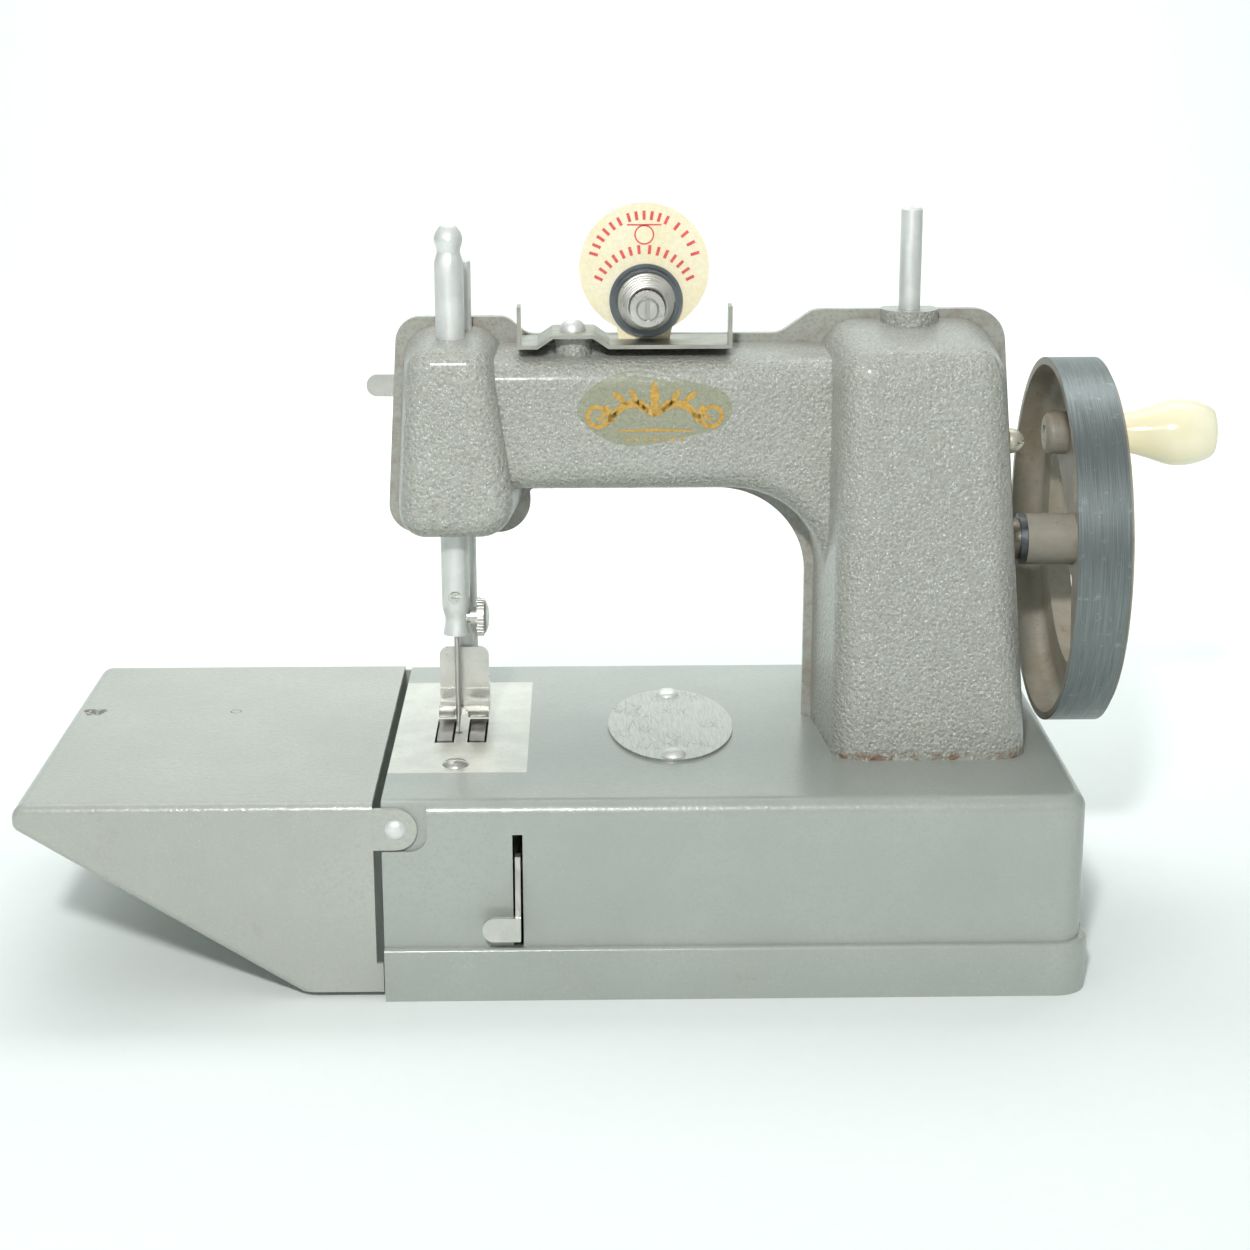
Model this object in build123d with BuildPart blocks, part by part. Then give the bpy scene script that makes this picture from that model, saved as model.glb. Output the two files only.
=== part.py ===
"""Toy hand-crank sewing machine: a pressed steel base with a folding table leaf, a two-shell arm,
a crank wheel, and the needle, presser, looper and feed work inside. Millimetres, +Z up.
X runs along the arm towards the hand wheel and Y away from the operator.
The origin is on the ground, under the middle of the whole machine."""

from build123d import *
from math import acos, atan2, cos, degrees, hypot, pi, radians, sin, sqrt, tan
import os

os.makedirs("parts", exist_ok=True)

# ---- base ----
base_left = -59.7
base_length = 160.0
base_width = 108.0
base_height = 47.5
base_right = base_left + base_length
half_width = base_width / 2
sheet = 1.2
under_top = base_height - sheet
tray_height = 12.7
tray_overhang = 1.8
base_fold = 3.5
base_corner = 6.0
screw_radius = 1.5
tray_head_radius = 3.0
tray_head_depth = 0.6
post_radius = 3.5
foot_screws_x = (base_left + 112.0, base_left + 143.0)
foot_screws_y = (-21.5, 37.5)
frame_screw_places = [(base_left + 141.0, -8.0), (base_left + 141.0, 12.0)]
post_places = [(base_left + x, y) for x in (14.0, 148.0) for y in (-45.0, 45.0)]

# ---- needle plate, with its recess in the base top ----
plate_left = base_left
plate_right = base_left + 32.4
plate_front = -33.4
plate_back = 36.9
plate_thickness = 0.8
feed_slots_x = (base_left + 12.0, base_left + 19.8)
feed_slot_width = 4.7
feed_slot_front = -11.6
feed_slot_back = 6.5
plate_screw_place = (base_left + 15.6, -27.6)

# ---- badge on the base top ----
badge_x = base_left + 67.0
badge_half_length = 15.3
badge_half_depth = 27.4
badge_thickness = 0.6
badge_rivets_y = (-23.2, 23.8)

# ---- table leaf and its hinge ----
leaf_left = base_left - 83.0
leaf_right = base_left - 1.9
leaf_stop = base_left - 0.4
leaf_stop_top = 8.7
leaf_bottom = 1.7
leaf_sheet = 1.1
leaf_nose_bottom = 41.8
leaf_slant_end = base_left - 19.8
hinge_x = base_left + 3.2
hinge_z = 41.2
ear_radius = 4.9
hinge_pin_radius = 1.6
pocket_depth = leaf_sheet + 0.05
pocket_right = base_left + 10.3
pocket_bottom = 35.9

# ---- arm shells, split on the plane of their rims ----
flange_y = 8.0
flange_plane = Plane.XZ.offset(-flange_y)
rim_width = 2.0
rim_thickness = 1.2
wall = 1.8
draft = 5.0
arm_depth = 21.0
head_depth = 26.0
pillar_depth = 35.0
head_bottom = 95.2
head_top = 147.8
arm_bottom = 106.0
arm_top = 143.6
pillar_top = 149.2
pillar_left = base_left + 100.0
pillar_buried = 30.0
arch_radius = 21.5

# ---- needle bar and presser bar ----
running_gap = 0.05
needle_x = base_left + 15.2
needle_y = -4.0
needle_bar_radius = 3.4
needle_bar_bottom = 72.8
needle_bar_top = 170.8
needle_tip = 46.9
clamp_z = 77.0
set_screw_z = 82.5
presser_x = base_left + 17.4
presser_y = 4.2
presser_radius = 2.5
presser_top = 161.6
foot_bottom = 51.4
foot_left = base_left + 10.6
foot_right = base_left + 22.6
lifter_x = base_left + 8.8
lifter_z = 130.9
lifter_half_height = 2.65
lifter_front = 9.5
lifter_thickness = 1.2

# ---- rocker that moves the needle bar ----
rocker_x = base_left + 70.0
rocker_z = 124.0
rocker_front = -9.6
rocker_thickness = 1.4
rocker_pin_radius = 2.0
rocker_half_width = 2.5
rocker_leg_x = base_left + 112.0
yoke_z = 89.8

# ---- thread path on the arm ----
strip_left = base_left + 30.9
strip_right = base_left + 80.8
strip_front = -9.5
strip_back = 6.6
strip_bottom = 142.6
strip_thickness = 0.9
strip_tab_top = 152.4
hump_left = base_left + 39.3
hump_right = base_left + 48.5
hump_slope = 3.6
hump_rise = 2.4
guide_rivet_place = (base_left + 43.8, -2.0)
tension_x = base_left + 61.0
tension_z = 152.5
tension_plate_z = 160.0
tension_plate_radius = 15.2
stud_radius = 2.6
spool_x = base_left + 123.4
spool_y = 4.0
spool_radius = 2.55
spool_top = 173.5

# ---- drive train ----
axis_y = flange_y
axis_z = 92.4
looper_y = needle_y
looper_z = 30.0
shaft_radius = 3.0
looper_shaft_radius = 2.5
wheel_left = base_left + 158.3
wheel_width = 12.1
wheel_radius = 44.3
wheel_rim = 1.8
web_left = base_left + 165.8
web_right = base_left + 171.4
hub_left = base_left + 153.9
hub_radius = 6.3
crank_radius = 27.8
crank_angle = 57.0
crank_boss_left = base_left + 160.5
crank_boss_radius = 5.3
handle_left = base_left + 171.6
handle_end = base_left + 202.4
handle_pin_radius = 2.0
gear_teeth = 20
gear_left = base_left + 126.0
gear_width = 4.0
frame_left = base_left + 131.5
frame_thickness = 2.0
idler_y = (axis_y + looper_y) / 2
idler_z = (axis_z + looper_z) / 2
gear_spacing = hypot(axis_y - looper_y, axis_z - looper_z) / 2
gear_module = gear_spacing / gear_teeth

# ---- stitch regulator lever ----
slot_left = base_left + 29.5
slot_right = base_left + 31.8
slot_bottom = 12.9
slot_top = 39.8
regulator_left = base_left + 30.05
regulator_thickness = 1.2
regulator_y = -12.0
regulator_z = 25.0


# ---- tools shared by the pieces ----
def wheel_plane(x):
    """A plane across the machine at x, facing the wheel; its own X is Y and its own Y is up."""
    return Plane(origin=(x, 0, 0), x_dir=(0, 1, 0), z_dir=(1, 0, 0))


def front_plane(y):
    """A plane along the machine at y, facing the operator; its own X is X and its own Y is up."""
    return Plane.XZ.offset(-y)


def save(piece, name):
    piece.label = name
    export_step(piece, f"parts/{name}.step")


def save_group(pieces, name):
    """Writes identical separate solids as one sub-part."""
    save(Compound(children=pieces), name)


def rod(plane, radius, length, edge=0.3):
    """A round rod that stands on the plane, with small chamfers on both ends."""
    with BuildPart() as body:
        with BuildSketch(plane):
            Circle(radius)
        extrude(amount=length)
        chamfer(body.edges().filter_by(GeomType.CIRCLE), edge)
    return body.part


def turned(plane, profile):
    """A solid turned about the plane's normal from (radius, height) points."""
    side = Plane(origin=plane.origin, x_dir=plane.x_dir, z_dir=-plane.y_dir)
    with BuildPart() as body:
        with BuildSketch(side):
            with BuildLine():
                Polyline(*profile, close=True)
            make_face()
        revolve(axis=Axis(plane.origin, plane.z_dir))
    return body.part


def domed(plane, head_radius, head_height, shank_radius, shank_length, slot=0.0):
    """A rivet, or a screw where slot is given: a domed head on the plane and a shank below it."""
    side = Plane(origin=plane.origin, x_dir=plane.x_dir, z_dir=-plane.y_dir)
    lean = 0.72
    with BuildPart() as body:
        with BuildSketch(side):
            with BuildLine():
                Polyline((0, head_height), (0, -shank_length), (shank_radius, -shank_length),
                         (shank_radius, 0), (head_radius, 0))
                ThreePointArc((head_radius, 0), (head_radius * lean, head_height * lean), (0.2, head_height))
                Line((0.2, head_height), (0, head_height))
            make_face()
        revolve(axis=Axis(plane.origin, plane.z_dir))
        if slot:
            with BuildSketch(plane.offset(head_height / 2)):
                Rectangle(2 * head_radius, slot)
            extrude(amount=head_height, mode=Mode.SUBTRACT)
    return body.part


def down_to(z, x, y):
    """A horizontal plane at height z with its origin over (x, y)."""
    return Plane(origin=(x, y, z))


# ---- base shell: one pressed steel box, open below ----
def pocket_outline():
    """Sketch of the sunk place beside the hinge, in X and Z."""
    with BuildSketch() as pocket:
        with BuildLine():
            Polyline((base_left - 1, pocket_bottom), (pocket_right, pocket_bottom),
                     (pocket_right, base_height + 1), (base_left - 1, base_height + 1), close=True)
        make_face()
        fillet(pocket.vertices().sort_by_distance((pocket_right, pocket_bottom))[0], 4)
    return pocket.sketch


with BuildPart() as base_shell:
    with BuildSketch(Plane.XY.offset(sheet)) as base_outline:
        with Locations((base_left + base_length / 2, 0)):
            Rectangle(base_length, base_width)
        fillet(base_outline.vertices().group_by(Axis.X)[-1], base_corner)
    extrude(amount=base_height - sheet)
    fillet(base_shell.faces().sort_by(Axis.Z)[-1].edges().sort_by(Axis.X)[1:], base_fold)
    offset(amount=-sheet, openings=base_shell.faces().sort_by(Axis.Z)[0])

    # pads that carry the sheet round the two hinge pockets and the needle plate's recess
    pad_right = pocket_right + sheet
    with Locations(((base_left + pad_right) / 2, -half_width + sheet / 2 + pocket_depth, 0),
                   ((base_left + pad_right) / 2, half_width - sheet / 2 - pocket_depth, 0)):
        with Locations((0, 0, (pocket_bottom - sheet + under_top) / 2)):
            Box(pad_right - base_left, sheet, under_top - pocket_bottom + sheet)
    with Locations(((plate_left + plate_right + 1) / 2, (plate_front + plate_back) / 2,
                    under_top - plate_thickness / 2)):
        Box(plate_right + 1 - plate_left, plate_back - plate_front + 2, plate_thickness)

    extrude(front_plane(-half_width) * pocket_outline(), amount=-pocket_depth, mode=Mode.SUBTRACT)
    extrude(front_plane(half_width) * pocket_outline(), amount=pocket_depth, mode=Mode.SUBTRACT)
    with Locations(((plate_left + plate_right) / 2, (plate_front + plate_back) / 2,
                    base_height - plate_thickness / 2)):
        Box(plate_right - plate_left, plate_back - plate_front, plate_thickness, mode=Mode.SUBTRACT)

    # openings for the feed and for the gears
    with BuildSketch(Plane.XY.offset(base_height)):
        with Locations((base_left + 16.0, -4.0)):
            RectangleRounded(24, 32, 3)
        with Locations((base_left + 127.0, 0.0)):
            RectangleRounded(18, 48, 3)
    extrude(amount=-2 * sheet - plate_thickness, mode=Mode.SUBTRACT)

    # regulator slot in the front
    with BuildSketch(front_plane(-half_width)):
        with Locations(((slot_left + slot_right) / 2, (slot_bottom + slot_top) / 2)):
            Rectangle(slot_right - slot_left, slot_top - slot_bottom)
    extrude(amount=-2 * sheet, mode=Mode.SUBTRACT)

    # holes for rivets and screws
    with BuildSketch(front_plane(half_width)):
        with Locations((hinge_x, hinge_z)):
            Circle(hinge_pin_radius)
    extrude(amount=base_width, mode=Mode.SUBTRACT)
    with BuildSketch(Plane.XY.offset(base_height)):
        with Locations(plate_screw_place, *frame_screw_places,
                       *((badge_x, y) for y in badge_rivets_y),
                       *((x, y) for x in foot_screws_x for y in foot_screws_y)):
            Circle(screw_radius)
    extrude(amount=-2 * sheet - plate_thickness, mode=Mode.SUBTRACT)
save(base_shell.part, "base_shell")

# ---- base tray: the stepped plinth that closes the base from below ----
with BuildPart() as base_tray:
    with BuildSketch() as tray_outline:
        with Locations((base_left + (base_length + tray_overhang) / 2, 0)):
            Rectangle(base_length + tray_overhang, base_width + 2 * tray_overhang)
        fillet(tray_outline.vertices().group_by(Axis.X)[-1], base_corner + tray_overhang)
    extrude(amount=tray_height)
    fillet(base_tray.faces().sort_by(Axis.Z)[-1].edges().sort_by(Axis.X)[1:], 0.9)
    with BuildSketch(Plane.XY.offset(sheet)) as tray_hollow:
        with Locations((base_left + base_length / 2, 0)):
            Rectangle(base_length, base_width)
        fillet(tray_hollow.vertices().group_by(Axis.X)[-1], base_corner)
    extrude(amount=tray_height, mode=Mode.SUBTRACT)
    for hole_radius, hole_depth in ((tray_head_radius, tray_head_depth), (screw_radius, sheet)):
        with BuildSketch():
            with Locations(*post_places):
                Circle(hole_radius)
        extrude(amount=hole_depth, mode=Mode.SUBTRACT)
save(base_tray.part, "base_tray")

# ---- posts under the base top, and the screws that hold the tray to them ----
with BuildPart() as tray_posts:
    with BuildSketch(Plane.XY.offset(sheet)):
        with Locations(*post_places):
            Circle(post_radius)
    extrude(amount=under_top - sheet)
    with BuildSketch(Plane.XY.offset(sheet)):
        with Locations(*post_places):
            Circle(screw_radius)
    extrude(amount=9.0, mode=Mode.SUBTRACT)
save(tray_posts.part, "tray_posts")

with BuildPart() as tray_screws:
    for rod_radius, rod_length in ((tray_head_radius, tray_head_depth), (screw_radius, sheet + 7.0)):
        with BuildSketch():
            with Locations(*post_places):
                Circle(rod_radius)
        extrude(amount=rod_length)
save(tray_screws.part, "tray_screws")

# ---- needle plate and its screw ----
with BuildPart() as needle_plate:
    with BuildSketch(Plane.XY.offset(base_height - plate_thickness)):
        with Locations(((plate_left + plate_right) / 2, (plate_front + plate_back) / 2)):
            Rectangle(plate_right - plate_left, plate_back - plate_front)
        with Locations(*((x, (feed_slot_front + feed_slot_back) / 2) for x in feed_slots_x)):
            Rectangle(feed_slot_width, feed_slot_back - feed_slot_front, mode=Mode.SUBTRACT)
        with Locations((needle_x, needle_y)):
            Circle(0.95, mode=Mode.SUBTRACT)
        with Locations(plate_screw_place):
            Circle(screw_radius, mode=Mode.SUBTRACT)
    extrude(amount=plate_thickness)
save(needle_plate.part, "needle_plate")

save(domed(down_to(base_height, *plate_screw_place), 3.15, 1.3, screw_radius, 4.0, slot=0.8),
     "needle_plate_screw")

# ---- badge and its two rivets ----
with BuildPart() as badge_plate:
    with BuildSketch(Plane.XY.offset(base_height)):
        with Locations((badge_x, 0.3)):
            Ellipse(badge_half_length, badge_half_depth)
        with Locations(*((badge_x, y) for y in badge_rivets_y)):
            Circle(screw_radius, mode=Mode.SUBTRACT)
    extrude(amount=badge_thickness)
save(badge_plate.part, "badge_plate")

save_group([domed(down_to(base_height + badge_thickness, badge_x, y), 3.0, 1.3, screw_radius, 3.0)
            for y in badge_rivets_y], "badge_rivets")

# ---- table leaf: a folded steel tray that hinges on the base's left end ----
with BuildPart() as table_leaf:
    with BuildSketch(front_plane(half_width)) as leaf_outline:
        with BuildLine():
            Polyline((leaf_right, base_height), (leaf_left, base_height), (leaf_left, leaf_nose_bottom),
                     (leaf_slant_end, leaf_bottom), (leaf_stop, leaf_bottom), (leaf_stop, leaf_stop_top),
                     (leaf_right, leaf_stop_top), close=True)
        make_face()
        fillet(leaf_outline.vertices().sort_by_distance((leaf_left, base_height))[0], 3.5)
        fillet(leaf_outline.vertices().sort_by_distance((leaf_left, leaf_nose_bottom))[0], 2.2)
    extrude(amount=base_width)
    fillet(table_leaf.faces().sort_by(Axis.Z)[-1].edges().filter_by(Axis.X), 2.2)
    with BuildSketch(front_plane(half_width - leaf_sheet)) as leaf_hollow:
        with BuildLine():
            Polyline((leaf_stop + 1, base_height - leaf_sheet), (leaf_left + leaf_sheet, base_height - leaf_sheet),
                     (leaf_left + leaf_sheet, 0), (leaf_stop + 1, 0), close=True)
        make_face()
        fillet(leaf_hollow.vertices().sort_by_distance(
            (leaf_left + leaf_sheet, base_height - leaf_sheet))[0], 2.4)
    extrude(amount=base_width - 2 * leaf_sheet, mode=Mode.SUBTRACT)
    for ear_back in (half_width, -half_width + leaf_sheet):
        with BuildSketch(front_plane(ear_back)):
            with Locations((hinge_x, hinge_z)):
                Circle(ear_radius)
            with Locations(((leaf_right - 1 + hinge_x) / 2, hinge_z)):
                Rectangle(hinge_x - leaf_right + 1, 2 * ear_radius)
        extrude(amount=leaf_sheet)
    with BuildSketch(front_plane(half_width)):
        with Locations((hinge_x, hinge_z)):
            Circle(hinge_pin_radius + running_gap)
    extrude(amount=base_width, mode=Mode.SUBTRACT)
save(table_leaf.part, "table_leaf")

hinge_front = Plane(origin=(hinge_x, -half_width - running_gap, hinge_z), x_dir=(1, 0, 0), z_dir=(0, -1, 0))
hinge_back = Plane(origin=(hinge_x, half_width + running_gap, hinge_z), x_dir=(1, 0, 0), z_dir=(0, 1, 0))
save_group([domed(plane, 2.4, 0.9, hinge_pin_radius, 3.2) for plane in (hinge_front, hinge_back)],
           "leaf_rivets")

# ---- arm shells: corners are (x, z, corner radius) on the rim plane ----
head_corners = [(base_left - 1.5, head_bottom, 8), (base_left + 1.9, head_top, 8),
                (base_left + 28.0, head_top, 8), (base_left + 35.5, head_bottom, 10)]
arm_corners = [(base_left + 14, arm_top, 0), (base_left + 14, arm_bottom, 0),
               (pillar_left, arm_bottom, arch_radius), (pillar_left, arm_bottom - 36, 0),
               (pillar_left + 18, arm_bottom - 36, 0), (pillar_left + 18, arm_top, 0)]
pillar_corners = [(pillar_left, pillar_buried, 0), (pillar_left, pillar_top, 10),
                  (base_left + 146.3, pillar_top, 11), (base_left + 156.8, pillar_buried, 0)]
rim_corners = [(base_left - 1.5, head_bottom, 7), (base_left + 1.9, head_top, 6),
               (base_left + 28.0, head_top, 4), (base_left + 33.0, arm_top, 4),
               (base_left + 93.0, arm_top, 6), (base_left + 101.0, pillar_top, 6),
               (base_left + 146.3, pillar_top, 8), (base_left + 156.8, pillar_buried, 0),
               (pillar_left, pillar_buried, 0), (pillar_left, arm_bottom, arch_radius),
               (base_left + 33.0, arm_bottom, 1), (base_left + 33.9, head_bottom, 8)]
shell_screws_place = [(base_left + 24.0, 112.0, head_depth), (base_left + 90.0, 134.0, arm_depth),
                      (base_left + 138.0, 140.0, pillar_depth), (base_left + 140.0, 60.0, pillar_depth),
                      (base_left + 110.0, 60.0, pillar_depth)]
boss_radius = 3.5
front_boss_depth = 13.0


def rim_outline(corners, inset=0.0):
    """Face on the rim plane inside the corners, moved inwards by inset."""
    with BuildSketch(flange_plane) as outline:
        with BuildLine():
            Polyline(*((x, z) for x, z, _ in corners), close=True)
        make_face()
        if inset:
            offset(amount=-inset, kind=Kind.INTERSECTION)
        for x, z, radius in corners:
            if radius:
                fillet(outline.vertices().sort_by_distance((x, z))[0], radius)
    return outline.sketch


def block(corners, inset, depth, edge, low=0.0, left=-300.0, right=300.0):
    """A drafted block in front of the rim plane, with rounded front edges within the limits."""
    with BuildPart() as body:
        extrude(rim_outline(corners, inset), amount=depth, taper=draft)
        front_edges = body.faces().sort_by(Axis.Y)[0].edges()
        fillet([edge_ for edge_ in front_edges if edge_.center().Z > low
                and left < edge_.center().X < right], edge)
    return body.part


def arm_body(inset, thinner, head_edge, arm_edge, pillar_edge):
    """Head, arm and pillar as one solid in front of the rim plane."""
    with BuildPart() as body:
        add(block(pillar_corners, inset, pillar_depth - thinner, pillar_edge, low=pillar_buried + 6))
        add(block(head_corners, inset, head_depth - thinner, head_edge))
        add(block(arm_corners, inset, arm_depth - thinner, arm_edge, low=arm_bottom - 32,
                  left=base_left + 18, right=pillar_left + 12))
    return body.part


def screw_bosses(longest):
    """Round posts for the shell screws, no longer than asked and nowhere outside the arm."""
    with BuildPart() as bosses:
        for x, z, depth in shell_screws_place:
            with BuildSketch(flange_plane):
                with Locations((x, z)):
                    Circle(boss_radius)
            extrude(amount=min(depth - wall / 2, longest))
        add(arm_outside, mode=Mode.INTERSECT)
    return bosses.part


arm_outside = arm_body(rim_width, 0, 5, 6, 7)
with BuildPart() as plain_shell:
    extrude(rim_outline(rim_corners), amount=rim_thickness)
    add(arm_outside)
    add(arm_body(rim_width + wall, wall, 2.5, 4, 5), mode=Mode.SUBTRACT)
    split(bisect_by=Plane.XY.offset(base_height), keep=Keep.TOP)

    # feet over the screws from the base, and the shaft's place
    with Locations(*((x, 2 * flange_y - y, base_height + 3) for x in foot_screws_x
                     for y in foot_screws_y[1:])):
        Box(7, 8, 6)
    with Locations(*((x, 2 * flange_y - foot_screws_y[1], base_height) for x in foot_screws_x)):
        Cylinder(screw_radius, 10, mode=Mode.SUBTRACT)
    with BuildSketch(wheel_plane(base_left + 146.0)):
        with Locations((axis_y, axis_z)):
            Circle(5.0)
    extrude(amount=12, mode=Mode.SUBTRACT)

side_screw_plane = Plane(origin=(base_left + 145.3, -12.0, 121.0), x_dir=(0, 1, 0), z_dir=(1, 0, 0))
with BuildPart() as front_shell:
    add(plain_shell.part)
    add(screw_bosses(front_boss_depth))
    # boss for the guide rivet and boss for the spool pin
    with BuildSketch(Plane.XY.offset(arm_top - rim_width - wall)):
        with Locations(guide_rivet_place):
            Circle(4.4)
    extrude(amount=strip_bottom + hump_rise - (arm_top - rim_width - wall))
    with BuildSketch(Plane.XY.offset(pillar_top - rim_width - wall)) as spool_boss:
        with Locations((spool_x, spool_y)):
            Circle(6.8)
        with Locations((spool_x, flange_y + 10)):
            Rectangle(30, 20, mode=Mode.SUBTRACT)
    extrude(amount=2.6 + wall)
    # bores for the bars, the rivet, the spool pin and the screws
    with BuildSketch(Plane.XY.offset(head_bottom - 5)):
        with Locations((needle_x, needle_y)):
            Circle(needle_bar_radius + running_gap)
        with Locations((presser_x, presser_y)):
            Circle(presser_radius + running_gap)
    extrude(amount=60, mode=Mode.SUBTRACT)
    with BuildSketch(Plane.XY.offset(arm_top - 10)):
        with Locations(guide_rivet_place):
            Circle(screw_radius)
    extrude(amount=15, mode=Mode.SUBTRACT)
    with BuildSketch(Plane.XY.offset(pillar_top - 10)):
        with Locations((spool_x, spool_y)):
            Circle(spool_radius - 0.55)
    extrude(amount=15, mode=Mode.SUBTRACT)
    with BuildSketch(flange_plane):
        with Locations(*((x, z) for x, z, _ in shell_screws_place)):
            Circle(screw_radius)
    extrude(amount=12, mode=Mode.SUBTRACT)
    with BuildSketch(front_plane(-12)):
        with Locations((rocker_x, rocker_z)):
            Circle(rocker_pin_radius)
    extrude(amount=-5, mode=Mode.SUBTRACT)
    # spot-faced hole for the screw in the right wall
    for hole_radius, hole_start in ((screw_radius, -6), (3.0, 0)):
        with BuildSketch(side_screw_plane.offset(hole_start)):
            Circle(hole_radius)
        extrude(amount=9, mode=Mode.SUBTRACT)
save(front_shell.part, "front_shell")

with BuildPart() as back_shell:
    add(mirror(plain_shell.part, about=flange_plane))
    add(mirror(screw_bosses(pillar_depth), about=flange_plane))
    # slot in the head's left wall for the presser lifter
    with Locations((base_left, lifter_front + lifter_thickness / 2, lifter_z + 1.85)):
        Box(12, lifter_thickness + 0.6, 2 * lifter_half_height + 4.4, mode=Mode.SUBTRACT)
    # holes for the shell screws, the lifter pivot and the rocker pivot
    with BuildSketch(flange_plane):
        with Locations(*((x, z) for x, z, _ in shell_screws_place), (lifter_x, lifter_z)):
            Circle(screw_radius)
    extrude(amount=-50, mode=Mode.SUBTRACT)
    with BuildSketch(flange_plane):
        with Locations((rocker_x, rocker_z)):
            Circle(rocker_pin_radius)
    extrude(amount=-arm_depth + wall / 2, mode=Mode.SUBTRACT)
save(back_shell.part, "back_shell")


# ---- screws of the shells ----
def behind(x, y, z):
    """A plane facing away from the operator at (x, y, z)."""
    return Plane(origin=(x, y, z), x_dir=(1, 0, 0), z_dir=(0, 1, 0))


save_group([domed(behind(x, flange_y + depth, z), 2.8, 1.6, screw_radius, depth + 10.0, slot=0.8)
            for x, z, depth in shell_screws_place], "shell_screws")
save_group([turned(Plane(origin=(x, y, under_top), x_dir=(1, 0, 0), z_dir=(0, 0, -1)),
                   [(0, 1.8), (2.8, 1.8), (2.8, 0), (screw_radius, 0), (screw_radius, -6.2), (0, -6.2)])
            for x in foot_screws_x for y in foot_screws_y], "foot_screws")

save(domed(side_screw_plane, 2.9, 3.8, screw_radius, 5.0, slot=0.8), "side_screw")

# ---- spool pin ----
spool_boss_top = pillar_top - rim_width + 2.6
save(turned(down_to(spool_boss_top, spool_x, spool_y),
            [(0, -6.8), (spool_radius - 0.55, -6.8), (spool_radius - 0.55, 0), (spool_radius, 0),
             (spool_radius, spool_top - spool_boss_top - 0.5), (spool_radius - 0.5, spool_top - spool_boss_top),
             (0, spool_top - spool_boss_top)]), "spool_pin")

# ---- thread guide strip with its humped middle, two upturned ends and a lug for the tension stud ----
with BuildPart() as thread_guide_strip:
    with BuildSketch(front_plane(strip_back)) as strip_profile:
        hump_z = strip_bottom + hump_rise
        with BuildLine() as lower_line:
            Polyline((strip_left, strip_tab_top), (strip_left, strip_bottom),
                     (hump_left - hump_slope, strip_bottom), (hump_left, hump_z), (hump_right, hump_z),
                     (hump_right + hump_slope, strip_bottom), (strip_right, strip_bottom),
                     (strip_right, strip_tab_top))
            offset(amount=strip_thickness, side=Side.LEFT)
        make_face()
    extrude(amount=strip_back - strip_front)
    # the upturned ends are narrower than the strip
    for end_x in (strip_left, strip_right):
        with Locations((end_x, (strip_back + strip_front + 5) / 2, strip_tab_top)):
            Box(3, strip_back - strip_front - 5, 2 * (strip_tab_top - strip_bottom - strip_thickness),
                mode=Mode.SUBTRACT)
    with Locations((tension_x, 1.65, (strip_bottom + tension_z + 5) / 2)):
        Box(10, 0.9, tension_z + 5 - strip_bottom)
    with BuildSketch(front_plane(5)):
        with Locations((tension_x, tension_z)):
            Circle(stud_radius)
    extrude(amount=10, mode=Mode.SUBTRACT)
    with BuildSketch(Plane.XY.offset(hump_z)):
        with Locations(guide_rivet_place):
            Circle(screw_radius)
    extrude(amount=strip_thickness, mode=Mode.SUBTRACT)
save(thread_guide_strip.part, "thread_guide_strip")

save(domed(down_to(strip_bottom + hump_rise + strip_thickness, *guide_rivet_place), 3.1, 2.6,
           screw_radius, 7.5), "guide_rivet")

# ---- tension unit: drop-shaped plate, two washers, conical spring and nut on a slotted stud ----
tension_plate_thickness = 1.2
plate_foot_half = 6.0
foot_z = strip_bottom + strip_thickness
with BuildPart() as tension_plate:
    with BuildSketch(front_plane(tension_plate_thickness)):
        with Locations((tension_x - 0.4, tension_plate_z)):
            Circle(tension_plate_radius)
        with BuildLine():
            drop = tension_plate_z - foot_z
            tangent_angle = degrees(atan2(plate_foot_half, drop))
            reach = hypot(plate_foot_half, drop)
            touch = tangent_angle + degrees(acos(tension_plate_radius / reach)) - 90
            side_point = (tension_plate_radius * cos(radians(touch)),
                          -tension_plate_radius * sin(radians(touch)))
            Polyline((tension_x - 0.4 - side_point[0], tension_plate_z + side_point[1]),
                     (tension_x - 0.4 - plate_foot_half, foot_z),
                     (tension_x - 0.4 + plate_foot_half, foot_z),
                     (tension_x - 0.4 + side_point[0], tension_plate_z + side_point[1]), close=True)
        make_face()
        with Locations((tension_x, tension_z)):
            Circle(stud_radius, mode=Mode.SUBTRACT)
    extrude(amount=tension_plate_thickness)
save(tension_plate.part, "tension_plate")

stud_plane = Plane(origin=(tension_x, 0, tension_z), x_dir=(1, 0, 0), z_dir=(0, -1, 0))
with BuildPart() as tension_stud:
    with BuildSketch(stud_plane.offset(-3.6)):
        Circle(4.0)
    extrude(amount=1.5)
    with BuildSketch(stud_plane.offset(-3.6)):
        Circle(stud_radius)
    extrude(amount=19.4)
    chamfer(tension_stud.faces().sort_by(Axis.Y)[0].edges(), 0.4)
    with BuildSketch(stud_plane.offset(14.0)):
        Rectangle(1.0, 8)
    extrude(amount=3, mode=Mode.SUBTRACT)
save(tension_stud.part, "tension_stud")

save_group([turned(stud_plane.offset(start), [(stud_radius, 0), (radius, dish), (radius, dish + 0.6),
                                              (stud_radius, 0.6)])
            for start, radius, dish in ((0.0, 8.6, 0.2), (1.0, 7.6, 0.5))], "tension_washers")

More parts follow.
